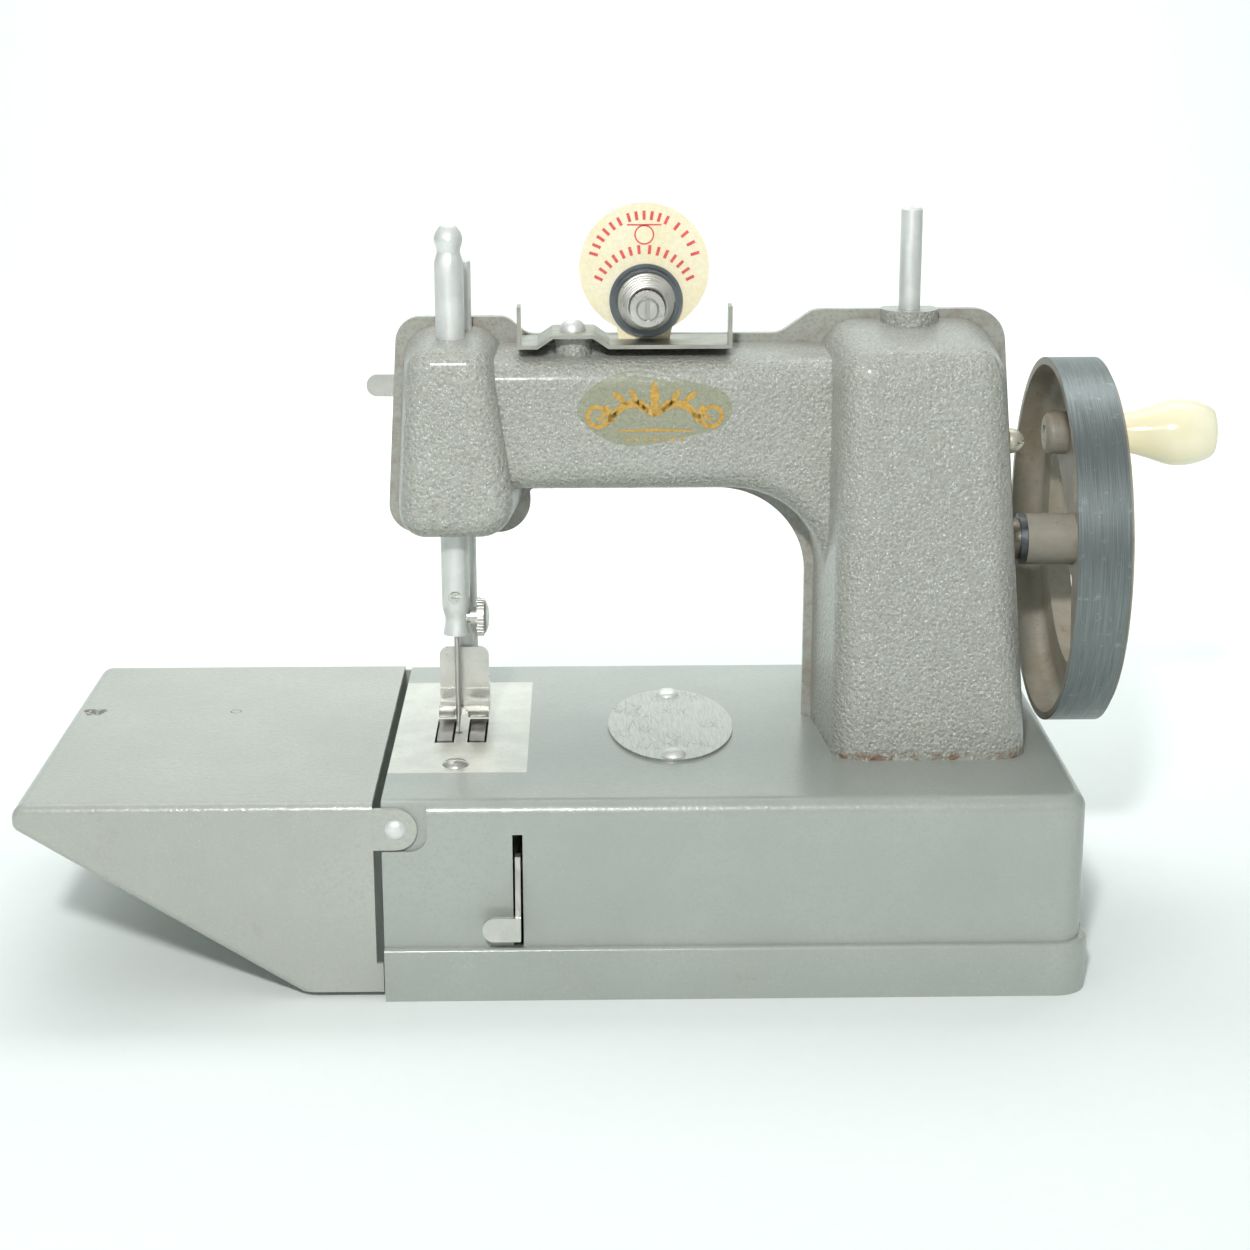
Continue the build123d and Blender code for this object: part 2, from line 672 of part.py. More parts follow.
with BuildPart() as tension_spring:
    with BuildLine():
        cone = Helix(pitch=1.4, height=7.9, radius=6.4, center=(0, 0, 0), direction=(0, 0, 1), cone_angle=-15)
    with BuildSketch(Plane(origin=cone @ 0, z_dir=cone % 0)):
        Circle(0.45)
    sweep(is_frenet=True)
save(stud_plane.offset(2.6).location * tension_spring.part, "tension_spring")

with BuildPart() as tension_nut:
    with BuildSketch(stud_plane.offset(11.3)):
        Circle(4.0)
        Circle(stud_radius + running_gap, mode=Mode.SUBTRACT)
        with PolarLocations(4.1, 26):
            Circle(0.2, mode=Mode.SUBTRACT)
    extrude(amount=3.6)
save(tension_nut.part, "tension_nut")

# ---- needle bar, needle and what is on them ----
bar_length = needle_bar_top - needle_bar_bottom
set_screw_radius = 1.2
with BuildPart() as needle_bar:
    with BuildSketch(Plane(origin=(needle_x, needle_y, needle_bar_bottom), x_dir=(1, 0, 0),
                           z_dir=(0, -1, 0))):
        with BuildLine():
            Polyline((0, bar_length), (0, 0), (needle_bar_radius - 0.2, 0))
            Spline((needle_bar_radius - 0.2, 0), (2.7, 3.9), (needle_bar_radius, 7.8),
                   tangents=((-0.1, 1), (0, 1)))
            Line((needle_bar_radius, 7.8), (needle_bar_radius, bar_length - 9.4))
            Spline((needle_bar_radius, bar_length - 9.4), (2.72, bar_length - 6.0),
                   (3.35, bar_length - 3.2), (2.2, bar_length - 0.7), (0.3, bar_length),
                   tangents=((0, 1), (-1, 0)))
            Line((0.3, bar_length), (0, bar_length))
        make_face()
    revolve(axis=Axis((needle_x, needle_y, 0), (0, 0, 1)))
    with BuildSketch(Plane.XY.offset(needle_bar_bottom)):
        with Locations((needle_x, needle_y)):
            Circle(0.9)
    extrude(amount=8.0, mode=Mode.SUBTRACT)
    with BuildSketch(wheel_plane(needle_x)):
        with Locations((needle_y, clamp_z)):
            Circle(1.4 + running_gap)
    extrude(amount=6.0, mode=Mode.SUBTRACT)
    for hole_radius, hole_y in ((set_screw_radius, needle_y), (1.6, needle_y - 2.3)):
        with BuildSketch(front_plane(hole_y)):
            with Locations((needle_x, set_screw_z)):
                Circle(hole_radius)
        extrude(amount=6.0, mode=Mode.SUBTRACT)
save(needle_bar.part, "needle_bar")

save(turned(down_to(needle_bar_bottom, needle_x, needle_y),
            [(0, 8.0), (0.9, 8.0), (0.9, 0), (0.65, -1.0), (0.6, -21.0), (0.12, needle_tip - needle_bar_bottom),
             (0, needle_tip - needle_bar_bottom)]), "needle")

set_screw_plane = Plane(origin=(needle_x, needle_y - 3.5, set_screw_z), x_dir=(1, 0, 0), z_dir=(0, -1, 0))
with BuildPart() as needle_set_screw:
    with BuildSketch(set_screw_plane.offset(-3.5)):
        Circle(set_screw_radius)
    extrude(amount=2.7)
    with BuildSketch(set_screw_plane.offset(-1.5)):
        Rectangle(5, 0.5)
    extrude(amount=2, mode=Mode.SUBTRACT)
save(needle_set_screw.part, "needle_set_screw")

knob_left = base_left + 20.3
knob_plane = Plane(origin=(knob_left, needle_y, clamp_z), x_dir=(0, 1, 0), z_dir=(1, 0, 0))
with BuildPart() as thumb_screw:
    with BuildSketch(knob_plane):
        Circle(4.75)
        with PolarLocations(4.85, 34):
            Circle(0.25, mode=Mode.SUBTRACT)
    extrude(amount=1.6)
    add(turned(knob_plane.offset(1.6), [(0, 0), (4.3, 0), (3.7, 0.6), (2.2, 1.1), (0, 1.3)]))
    for neck_radius, neck_length in ((2.3, 1.6), (1.4, knob_left - needle_x - 0.95)):
        with BuildSketch(knob_plane):
            Circle(neck_radius)
        extrude(amount=-neck_length)
save(thumb_screw.part, "thumb_screw")

with BuildPart() as needle_collar:
    with BuildSketch(Plane.XY.offset(rocker_z - 3)):
        with Locations((needle_x, needle_y)):
            Circle(4.1)
            Circle(needle_bar_radius, mode=Mode.SUBTRACT)
    extrude(amount=6)
    with BuildSketch(front_plane(needle_y - needle_bar_radius)):
        with Locations((needle_x, rocker_z)):
            Circle(1.5)
    extrude(amount=3.4)
save(needle_collar.part, "needle_collar")

# ---- rocker lever: fork on the needle bar's collar, pivot in the arm, slotted yoke at the crank ----
rocker_back = rocker_front + rocker_thickness
with BuildPart() as needle_rocker:
    with BuildSketch(front_plane(rocker_back)):
        for start, end in (((needle_x + 6, rocker_z), (rocker_x, rocker_z)),
                           ((rocker_x, rocker_z), (rocker_leg_x, rocker_z))):
            with Locations(((start[0] + end[0]) / 2, rocker_z)):
                SlotCenterToCenter(end[0] - start[0], 2 * rocker_half_width)
        with Locations((rocker_x, rocker_z)):
            Circle(4.2)
        with Locations((rocker_leg_x, (rocker_z + yoke_z) / 2)):
            Rectangle(4.0, rocker_z - yoke_z + 6)
        with Locations((needle_x + 2, rocker_z)):
            RectangleRounded(13, 8, 2)
        with Locations((needle_x - 2, rocker_z)):
            Rectangle(13, 3.7, mode=Mode.SUBTRACT)
        with Locations((rocker_x, rocker_z)):
            Circle(rocker_pin_radius + running_gap, mode=Mode.SUBTRACT)
    extrude(amount=rocker_thickness)
    with BuildSketch(wheel_plane(rocker_leg_x - 1)):
        with Locations(((rocker_front + axis_y + 13) / 2, yoke_z)):
            RectangleRounded(axis_y + 13 - rocker_front, 10, 1.3)
        with Locations((axis_y, yoke_z)):
            SlotCenterToCenter(16, 4, mode=Mode.SUBTRACT)
    extrude(amount=2)
save(needle_rocker.part, "needle_rocker")

save(turned(behind(rocker_x, -12.0, rocker_z),
            [(0, 0), (rocker_pin_radius, 0), (rocker_pin_radius, 3.9), (3.5, 3.9), (3.5, 39.2),
             (rocker_pin_radius, 39.2), (rocker_pin_radius, 40.1), (0, 40.1)]), "rocker_pivot")

# ---- presser bar, its foot, collar, spring and lifter ----
save(rod(down_to(foot_bottom + 5.6, presser_x, presser_y), presser_radius, presser_top - foot_bottom - 5.6),
     "presser_bar")

web_front = presser_y - presser_radius - 0.8
foot_middle = (foot_left + foot_right) / 2
foot_width = foot_right - foot_left
with BuildPart() as presser_foot:
    # upright web in front of the bar, with rounded top corners
    with BuildSketch(front_plane(web_front + 0.8)) as web:
        with Locations((foot_middle, foot_bottom + 9.0)):
            Rectangle(foot_width, 15.0)
        fillet(web.vertices().group_by(Axis.Y)[-1], 2.2)
    extrude(amount=0.8)
    # clamp round the bar
    with BuildSketch(Plane.XY.offset(foot_bottom + 5.6)):
        with Locations((presser_x, presser_y)):
            Circle(presser_radius + 1.5)
            Circle(presser_radius, mode=Mode.SUBTRACT)
        with Locations((presser_x, web_front - 3)):
            Rectangle(20, 6, mode=Mode.SUBTRACT)
    extrude(amount=9.0)
    # sole with a slot for the needle and turned-up toes
    with BuildSketch(wheel_plane(foot_left)):
        with BuildLine():
            Polyline((-6.2, foot_bottom + 3.6), (-5.3, foot_bottom + 2.4), (-3.8, foot_bottom + 1.8),
                     (web_front - 0.9, foot_bottom + 1.9), (web_front - 0.3, foot_bottom + 2.6),
                     (web_front - 0.3, foot_bottom + 6.0), (6.5, foot_bottom + 6.0), (6.5, foot_bottom),
                     (-3.9, foot_bottom))
            ThreePointArc((-3.9, foot_bottom), (-6.1, foot_bottom + 1.2), (-7.0, foot_bottom + 3.4))
            Line((-7.0, foot_bottom + 3.4), (-6.2, foot_bottom + 3.6))
        make_face()
    extrude(amount=foot_width)
    with Locations((needle_x + 0.7, -5.4, foot_bottom + 3)):
        Box(3.4, 6.4, 8, mode=Mode.SUBTRACT)
    with BuildSketch(Plane.XY.offset(foot_bottom + 5.6)):
        with Locations((presser_x, presser_y)):
            Circle(presser_radius)
    extrude(amount=2, mode=Mode.SUBTRACT)
save(presser_foot.part, "presser_foot")

collar_bottom = 133.0
lug_radius = 0.9
lug_z = lifter_z + lifter_half_height + lug_radius + 0.15
with BuildPart() as presser_collar:
    with BuildSketch(Plane.XY.offset(collar_bottom)):
        with Locations((presser_x, presser_y)):
            Circle(4.2)
            Circle(presser_radius, mode=Mode.SUBTRACT)
    extrude(amount=5.0)
    with BuildSketch(front_plane(presser_y + presser_radius + 0.5)):
        with Locations((presser_x, lug_z)):
            Circle(lug_radius)
    extrude(amount=-(lifter_front + lifter_thickness + 0.6 - presser_y - presser_radius - 0.5))
save(presser_collar.part, "presser_collar")

with BuildPart() as presser_spring:
    with BuildLine():
        coil = Helix(pitch=1.5, height=3.6, radius=3.0, center=(presser_x, presser_y, collar_bottom + 5.5))
    with BuildSketch(Plane(origin=coil @ 0, z_dir=coil % 0)):
        Circle(0.4)
    sweep(is_frenet=True)
save(presser_spring.part, "presser_spring")

with BuildPart() as lifter_lever:
    with BuildSketch(front_plane(lifter_front + lifter_thickness)) as lifter_outline:
        with Locations(((base_left - 5.9 + presser_x + 1.6) / 2, lifter_z)):
            Rectangle(presser_x + 1.6 - base_left + 5.9, 2 * lifter_half_height)
        fillet(lifter_outline.vertices().group_by(Axis.X)[0], 2.6)
        fillet(lifter_outline.vertices().group_by(Axis.X)[-1], 0.8)
        with Locations((lifter_x, lifter_z)):
            Circle(screw_radius + running_gap, mode=Mode.SUBTRACT)
    extrude(amount=lifter_thickness)
save(lifter_lever.part, "lifter_lever")

pivot_front = lifter_front - 0.3
pivot_shoulder = 21.5 - pivot_front
pivot_length = flange_y + head_depth - pivot_front
save(turned(behind(lifter_x, pivot_front, lifter_z),
            [(0, 0), (screw_radius, 0), (screw_radius, 1.55), (2.8, 1.55), (2.8, pivot_shoulder),
             (screw_radius, pivot_shoulder), (screw_radius, pivot_length), (2.8, pivot_length),
             (2.3, pivot_length + 1.4), (0, pivot_length + 1.6)]), "lifter_pivot")

# ---- hand wheel: a rim with an inner web, two windows, a hub and a boss for the handle ----
boss_y = crank_radius * cos(radians(crank_angle))
boss_z = crank_radius * sin(radians(crank_angle))
window_outer = 31.5
window_inner = 9.0
window_start = crank_angle - 23.0
window_turn = -132.0


def wheel_window(start):
    """Sector window in the web, from its start angle, in the wheel's plane."""
    inner_start = Vector(window_inner, 0).rotate(Axis.Z, start)
    outer_end = Vector(window_outer, 0).rotate(Axis.Z, start + window_turn)
    with BuildSketch() as window:
        with BuildLine():
            Line(inner_start, Vector(window_outer, 0).rotate(Axis.Z, start))
            CenterArc((0, 0), window_outer, start, window_turn)
            Line(outer_end, Vector(window_inner, 0).rotate(Axis.Z, start + window_turn))
            CenterArc((0, 0), window_inner, start, window_turn)
        make_face()
        fillet(window.vertices(), 2.2)
    return window.sketch


def axis_plane(x):
    """The plane across the wheel's axis at x, centred on the axis."""
    return Plane(origin=(x, axis_y, axis_z), x_dir=(0, 1, 0), z_dir=(1, 0, 0))


with BuildPart() as hand_wheel:
    with BuildSketch(axis_plane(wheel_left)):
        Circle(wheel_radius)
        Circle(wheel_radius - wheel_rim, mode=Mode.SUBTRACT)
    extrude(amount=wheel_width)
    with BuildSketch(axis_plane(web_left)):
        Circle(wheel_radius - wheel_rim)
    extrude(amount=web_right - web_left)
    fillet(hand_wheel.edges().filter_by(GeomType.CIRCLE).filter_by(
        lambda edge: abs(edge.radius - wheel_radius + wheel_rim) < 0.01
        and abs(edge.center().X - web_left) < 0.01), 3.0)
    with BuildSketch(axis_plane(web_left)):
        add(wheel_window(window_start))
        add(wheel_window(window_start + 180))
    extrude(amount=web_right - web_left, mode=Mode.SUBTRACT)
    with BuildSketch(axis_plane(hub_left)):
        Circle(hub_radius)
    extrude(amount=web_right - hub_left)
    with BuildSketch(axis_plane(crank_boss_left)):
        with Locations((boss_y, boss_z)):
            Circle(crank_boss_radius)
    extrude(amount=web_right - crank_boss_left)
    fillet(hand_wheel.faces().filter_by(Axis.X).sort_by(
        lambda face: abs(face.center().X - crank_boss_left))[0].edges(), 1.8)
    with BuildSketch(axis_plane(hub_left)):
        Circle(shaft_radius)
        with Locations((boss_y, boss_z)):
            Circle(handle_pin_radius)
    extrude(amount=web_right - hub_left, mode=Mode.SUBTRACT)
save(hand_wheel.part, "hand_wheel")

handle_plane = Plane(origin=(handle_left, axis_y + boss_y, axis_z + boss_z), x_dir=(0, 1, 0), z_dir=(1, 0, 0))
save(rod(handle_plane.offset(crank_boss_left + 0.5 - handle_left), handle_pin_radius,
         handle_end - 6 - crank_boss_left), "handle_pin")

handle_length = handle_end - handle_left
with BuildPart() as crank_handle:
    with BuildSketch(Plane(origin=handle_plane.origin, x_dir=(0, 1, 0), z_dir=(0, 0, -1))):
        with BuildLine():
            Polyline((0, handle_length), (0, 0), (4.6, 0), (4.95, 0.5))
            Spline((4.95, 0.5), (5.0, 9.5), (6.5, 15.0), (8.15, 20.5), (8.2, 24.0), (6.3, handle_length - 0.6))
            Polyline((6.3, handle_length - 0.6), (5.7, handle_length), (0, handle_length))
        make_face()
    revolve(axis=Axis(handle_plane.origin, (1, 0, 0)))
    with BuildSketch(handle_plane):
        Circle(handle_pin_radius + running_gap)
    extrude(amount=handle_length - 5, mode=Mode.SUBTRACT)
save(crank_handle.part, "crank_handle")

# ---- main shaft with its bush, washer, crank disc and gear ----
shaft_left = base_left + 123.0
save(rod(axis_plane(shaft_left), shaft_radius, web_right - shaft_left), "main_shaft")

bush_left = base_left + 146.0
bush_right = base_left + 152.2
with BuildPart() as shaft_bush:
    with BuildSketch(axis_plane(bush_left)):
        Circle(5.0)
        Circle(shaft_radius + running_gap, mode=Mode.SUBTRACT)
    extrude(amount=bush_right - bush_left)
save(shaft_bush.part, "shaft_bush")

with BuildPart() as shaft_washer:
    with BuildSketch(axis_plane(bush_right)):
        Circle(6.2)
        Circle(shaft_radius + running_gap, mode=Mode.SUBTRACT)
    extrude(amount=hub_left - bush_right - 0.1)
save(shaft_washer.part, "shaft_washer")

stroke = 18.0
crank_pin_reach = stroke / 2 * (rocker_leg_x - rocker_x) / (rocker_x - needle_x)
crank_pin_drop = axis_z - yoke_z
crank_pin_side = sqrt(crank_pin_reach**2 - crank_pin_drop**2)
with BuildPart() as crank_disc:
    with BuildSketch(axis_plane(shaft_left)):
        Circle(12.5)
        Circle(shaft_radius, mode=Mode.SUBTRACT)
    extrude(amount=2.0)
    with BuildSketch(axis_plane(shaft_left + 2)):
        with Locations((crank_pin_side, -crank_pin_drop)):
            Circle(1.9)
    extrude(amount=-3.4)
save(crank_disc.part, "crank_disc")


# ---- three equal gears: wheel shaft, idler, looper shaft ----
def gear(y, z, bore, line_angle, starts_with_gap):
    """A spur gear with involute teeth; a tooth or a gap lies on the line of centres."""
    pressure = radians(20)
    base_radius = gear_spacing / 2 * cos(pressure)
    tip_radius = gear_spacing / 2 + gear_module
    root_radius = gear_spacing / 2 - 1.25 * gear_module
    backlash = radians(0.35)
    half_at_base = pi / (2 * gear_teeth) - backlash + tan(pressure) - pressure
    flank = []
    for step in range(5):
        radius = base_radius + (tip_radius - base_radius) * step / 4
        turn = acos(base_radius / radius)
        flank.append((radius, half_at_base - tan(turn) + turn))
    flank.insert(0, (root_radius, half_at_base))
    points = []
    for tooth in range(gear_teeth):
        middle = line_angle + 2 * pi * (tooth + 0.5 * starts_with_gap) / gear_teeth
        points += [(r * cos(middle - half), r * sin(middle - half)) for r, half in flank]
        points += [(r * cos(middle + half), r * sin(middle + half)) for r, half in reversed(flank)]
    with BuildPart() as body:
        with BuildSketch(Plane(origin=(gear_left, y, z), x_dir=(0, 1, 0), z_dir=(1, 0, 0))):
            with BuildLine():
                Polyline(*points, close=True)
            make_face()
            Circle(bore, mode=Mode.SUBTRACT)
        extrude(amount=gear_width)
    return body.part


centre_line = atan2(looper_z - axis_z, looper_y - axis_y)
save(gear(axis_y, axis_z, shaft_radius, centre_line, False), "drive_gear")
save(gear(idler_y, idler_z, looper_shaft_radius + running_gap, centre_line, True), "idler_gear")
save(gear(looper_y, looper_z, looper_shaft_radius, centre_line, False), "looper_gear")

save(turned(Plane(origin=(gear_left - 1.4, idler_y, idler_z), x_dir=(0, 1, 0), z_dir=(1, 0, 0)),
            [(0, 0), (4.5, 0), (4.5, 1.3), (looper_shaft_radius, 1.3),
             (looper_shaft_radius, frame_left + frame_thickness - gear_left + 1.4),
             (0, frame_left + frame_thickness - gear_left + 1.4)]), "idler_stud")

with BuildPart() as gear_frame:
    with BuildSketch(wheel_plane(frame_left)):
        with Locations((2.0, 58.0)):
            RectangleRounded(38, 92, 4)
        with Locations((axis_y, axis_z)):
            Circle(shaft_radius + running_gap, mode=Mode.SUBTRACT)
        with Locations((idler_y, idler_z)):
            Circle(looper_shaft_radius, mode=Mode.SUBTRACT)
        with Locations((looper_y, looper_z)):
            Circle(looper_shaft_radius + running_gap, mode=Mode.SUBTRACT)
    extrude(amount=frame_thickness)
    foot_right_x = base_left + 145.0
    with Locations(((frame_left + foot_right_x) / 2, 2.0, base_height + 0.8)):
        Box(foot_right_x - frame_left, 28, 1.6)
    with Locations(*((x, y, base_height) for x, y in frame_screw_places)):
        Cylinder(screw_radius, 10, mode=Mode.SUBTRACT)
save(gear_frame.part, "gear_frame")

save_group([domed(down_to(base_height + 1.6, x, y), 2.8, 1.6, screw_radius, 4.2, slot=0.8)
            for x, y in frame_screw_places], "frame_screws")

# ---- looper shaft with its bearing, looper and feed cam ----
def looper_plane(x):
    """The plane across the looper shaft at x, centred on the shaft."""
    return Plane(origin=(x, looper_y, looper_z), x_dir=(0, 1, 0), z_dir=(1, 0, 0))


looper_left = base_left + 17.3
save(rod(looper_plane(looper_left), looper_shaft_radius, 118.0), "looper_shaft")

bearing_left = base_left + 40.0
with BuildPart() as looper_bearing:
    with BuildSketch(wheel_plane(bearing_left)):
        with Locations((looper_y, (looper_z + under_top) / 2 - 2.5)):
            Rectangle(10, under_top - looper_z + 5)
        with Locations((looper_y, looper_z)):
            Circle(looper_shaft_radius + running_gap, mode=Mode.SUBTRACT)
    extrude(amount=6)
save(looper_bearing.part, "looper_bearing")

with BuildPart() as looper:
    with BuildSketch(looper_plane(looper_left)):
        Circle(4.6)
        # hook: a crescent round one side, with its point past the top
        Circle(8.0)
        with Locations((1.6, -0.8)):
            Circle(6.2, mode=Mode.SUBTRACT)
        Circle(4.6)
        with Locations((-3.5, -3.0)):
            Rectangle(7, 5)
        with Locations((7.0, -4.0)):
            Rectangle(6, 9, mode=Mode.SUBTRACT)
        Circle(looper_shaft_radius, mode=Mode.SUBTRACT)
    extrude(amount=2.0)
save(looper.part, "looper")

with BuildPart() as feed_cam:
    with BuildSketch(looper_plane(base_left + 21.0)):
        with Locations((0, 1.0)):
            Circle(5.0)
        Circle(looper_shaft_radius, mode=Mode.SUBTRACT)
    extrude(amount=3.0)
save(feed_cam.part, "feed_cam")

# ---- feed bar with two toothed dogs, and the guide that it slides in ----
feed_bar_bottom = 42.0
feed_bar_thickness = 1.6
dog_front = -9.6
dog_back = 4.6
dog_width = 3.6
dog_top = 48.2
feed_middle = (feed_slots_x[0] + feed_slots_x[1]) / 2
with BuildPart() as feed_bar:
    with BuildSketch(Plane.XY.offset(feed_bar_bottom)):
        with Locations((feed_middle, 1.0)):
            Rectangle(13.2, 30)
        with Locations((feed_middle, -3.5)):
            Rectangle(3.8, 25, mode=Mode.SUBTRACT)
        with Locations((feed_middle, 24.0)):
            Rectangle(7, 20)
    extrude(amount=feed_bar_thickness)
save(feed_bar.part, "feed_bar")

with BuildPart() as feed_dogs:
    dog_bottom = feed_bar_bottom + feed_bar_thickness
    tooth_count = 10
    tooth_pitch = (dog_back - dog_front) / tooth_count
    tooth_depth = 0.9
    for dog_x in feed_slots_x:
        with BuildSketch(wheel_plane(dog_x - dog_width / 2)):
            with BuildLine():
                teeth = [point for tooth in range(tooth_count)
                         for point in ((dog_front + tooth * tooth_pitch, dog_top - tooth_depth),
                                       (dog_front + (tooth + 1) * tooth_pitch - 0.2, dog_top))]
                Polyline((dog_back, dog_bottom), (dog_front, dog_bottom), *teeth,
                         (dog_back, dog_top - tooth_depth), close=True)
            make_face()
        extrude(amount=dog_width)
save(feed_dogs.part, "feed_dogs")

with BuildPart() as feed_guide:
    with Locations((feed_middle, 27.0, (40.0 + under_top - plate_thickness) / 2)):
        Box(14, 6, under_top - plate_thickness - 40.0)
    with Locations((feed_middle, 27.0, feed_bar_bottom + feed_bar_thickness / 2)):
        Box(7 + 2 * running_gap, 6, feed_bar_thickness + 2 * running_gap, mode=Mode.SUBTRACT)
save(feed_guide.part, "feed_guide")

# ---- stitch regulator lever in the front slot, on a bracket under the base top ----
blade_bottom = 15.5
blade_top = 34.5
tab_left = base_left + 22.6
tab_top = 21.2
with BuildPart() as regulator_lever:
    with BuildSketch(wheel_plane(regulator_left)):
        with BuildLine():
            Polyline((-58.2, blade_bottom), (-51.5, blade_bottom), (-49.0, 20.5), (regulator_y, 21.8),
                     (regulator_y, 28.2), (-49.0, 27.0), (-51.5, blade_top), (-54.2, blade_top), close=True)
        make_face()
        with Locations((regulator_y, regulator_z)):
            Circle(4.6)
            Circle(2.0 + running_gap, mode=Mode.SUBTRACT)
    extrude(amount=regulator_thickness)
    with BuildSketch(front_plane(-57.0)) as tab:
        with Locations(((tab_left + regulator_left + regulator_thickness) / 2, (blade_bottom + tab_top) / 2)):
            Rectangle(regulator_left + regulator_thickness - tab_left, tab_top - blade_bottom)
        fillet(tab.vertices().group_by(Axis.X)[0], 2.7)
    extrude(amount=1.2)
save(regulator_lever.part, "regulator_lever")

bracket_left = regulator_left - 1.75
with BuildPart() as regulator_bracket:
    with Locations((bracket_left + 0.85, regulator_y - 2, (20.0 + under_top - plate_thickness) / 2)):
        Box(1.7, 12, under_top - plate_thickness - 20.0)
    with BuildSketch(wheel_plane(bracket_left)):
        with Locations((regulator_y, regulator_z)):
            Circle(2.0)
    extrude(amount=1.7, mode=Mode.SUBTRACT)
save(regulator_bracket.part, "regulator_bracket")

save(turned(Plane(origin=(bracket_left, regulator_y, regulator_z), x_dir=(0, 1, 0), z_dir=(1, 0, 0)),
            [(0, 0), (2.0, 0), (2.0, 3.1), (3.4, 3.1), (3.4, 4.2), (0, 4.2)]), "regulator_pivot")
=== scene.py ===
"""Looks of the toy sewing machine: materials, paint marks, floor, lights and camera."""

import math

import bpy
from mathutils import Matrix, Vector
from mathutils.bvhtree import BVHTree


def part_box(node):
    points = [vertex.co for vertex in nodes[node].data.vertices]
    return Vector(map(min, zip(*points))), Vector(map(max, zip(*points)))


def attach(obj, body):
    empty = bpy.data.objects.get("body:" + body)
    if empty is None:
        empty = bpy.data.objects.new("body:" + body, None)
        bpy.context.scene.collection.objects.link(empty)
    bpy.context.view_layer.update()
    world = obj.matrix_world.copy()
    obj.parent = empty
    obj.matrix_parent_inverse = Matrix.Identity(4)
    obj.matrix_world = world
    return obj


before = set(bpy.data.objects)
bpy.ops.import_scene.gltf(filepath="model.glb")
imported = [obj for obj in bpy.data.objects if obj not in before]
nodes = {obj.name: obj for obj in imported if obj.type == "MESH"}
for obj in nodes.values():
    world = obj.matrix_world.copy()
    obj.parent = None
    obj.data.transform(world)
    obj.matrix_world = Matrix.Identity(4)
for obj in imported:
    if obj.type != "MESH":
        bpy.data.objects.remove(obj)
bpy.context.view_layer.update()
MM = 0.001

# ---- colours, linear ----
ENAMEL = (0.365, 0.365, 0.325, 1)
ENAMEL_SIDE = (0.345, 0.370, 0.340, 1)
LEAF = (0.40, 0.41, 0.37, 1)
RUST = (0.19, 0.095, 0.045, 1)
DUST = (0.26, 0.21, 0.155, 1)
STEEL = (0.60, 0.59, 0.56, 1)
NICKEL = (0.66, 0.65, 0.61, 1)
ALUMINIUM = (0.82, 0.83, 0.81, 1)
DARK_STEEL = (0.17, 0.165, 0.16, 1)
PLATE_STEEL = (0.74, 0.73, 0.67, 1)
DULL_STEEL = (0.46, 0.45, 0.40, 1)
FASTENER_STEEL = (0.56, 0.54, 0.47, 1)
BLUED_STEEL = (0.19, 0.21, 0.225, 1)
BUSH_STEEL = (0.36, 0.32, 0.26, 1)
PALE_SCREW = (0.66, 0.63, 0.52, 1)
TAN_STAIN = (0.30, 0.24, 0.16, 1)
WORN_RIM = (0.34, 0.37, 0.36, 1)
# Painted highlight: the pale colour of the glints painted into the enamel.
PAINTED_GLINT = (0.80, 0.81, 0.77, 1)
BRASS = (0.60, 0.43, 0.19, 1)
IVORY = (0.95, 0.90, 0.70, 1)
DIAL_IVORY = (0.88, 0.82, 0.63, 1)
VARNISH = (0.40, 0.41, 0.27, 1)
GOLD = (0.42, 0.25, 0.055, 1)
RED = (0.56, 0.075, 0.07, 1)
WHEEL_PAINT = (0.275, 0.235, 0.175, 1)
WHEEL_PAINT_PALE = (0.34, 0.32, 0.27, 1)
RIM_STEEL = (0.155, 0.175, 0.175, 1)

# ---- sizes and places, in millimetres ----
FLOURISH_MIDDLE = (3.0, 128.6)
PUNCH_RING_PLACE = (-101.3, 13.8)
PUNCH_RING_RADIUS = 1.3
RUBBED_PATCH_PLACE = (6.0, 14.0)


# ---- node tools ----
def add_node(tree, kind, inputs=None, **settings):
    """Adds a node, sets its properties, and links or fills its inputs."""
    new = tree.nodes.new(kind)
    for name, value in settings.items():
        setattr(new, name, value)
    for key, value in (inputs or {}).items():
        socket = new.inputs[key]
        if isinstance(value, bpy.types.NodeSocket):
            tree.links.new(value, socket)
        else:
            socket.default_value = value
    return new


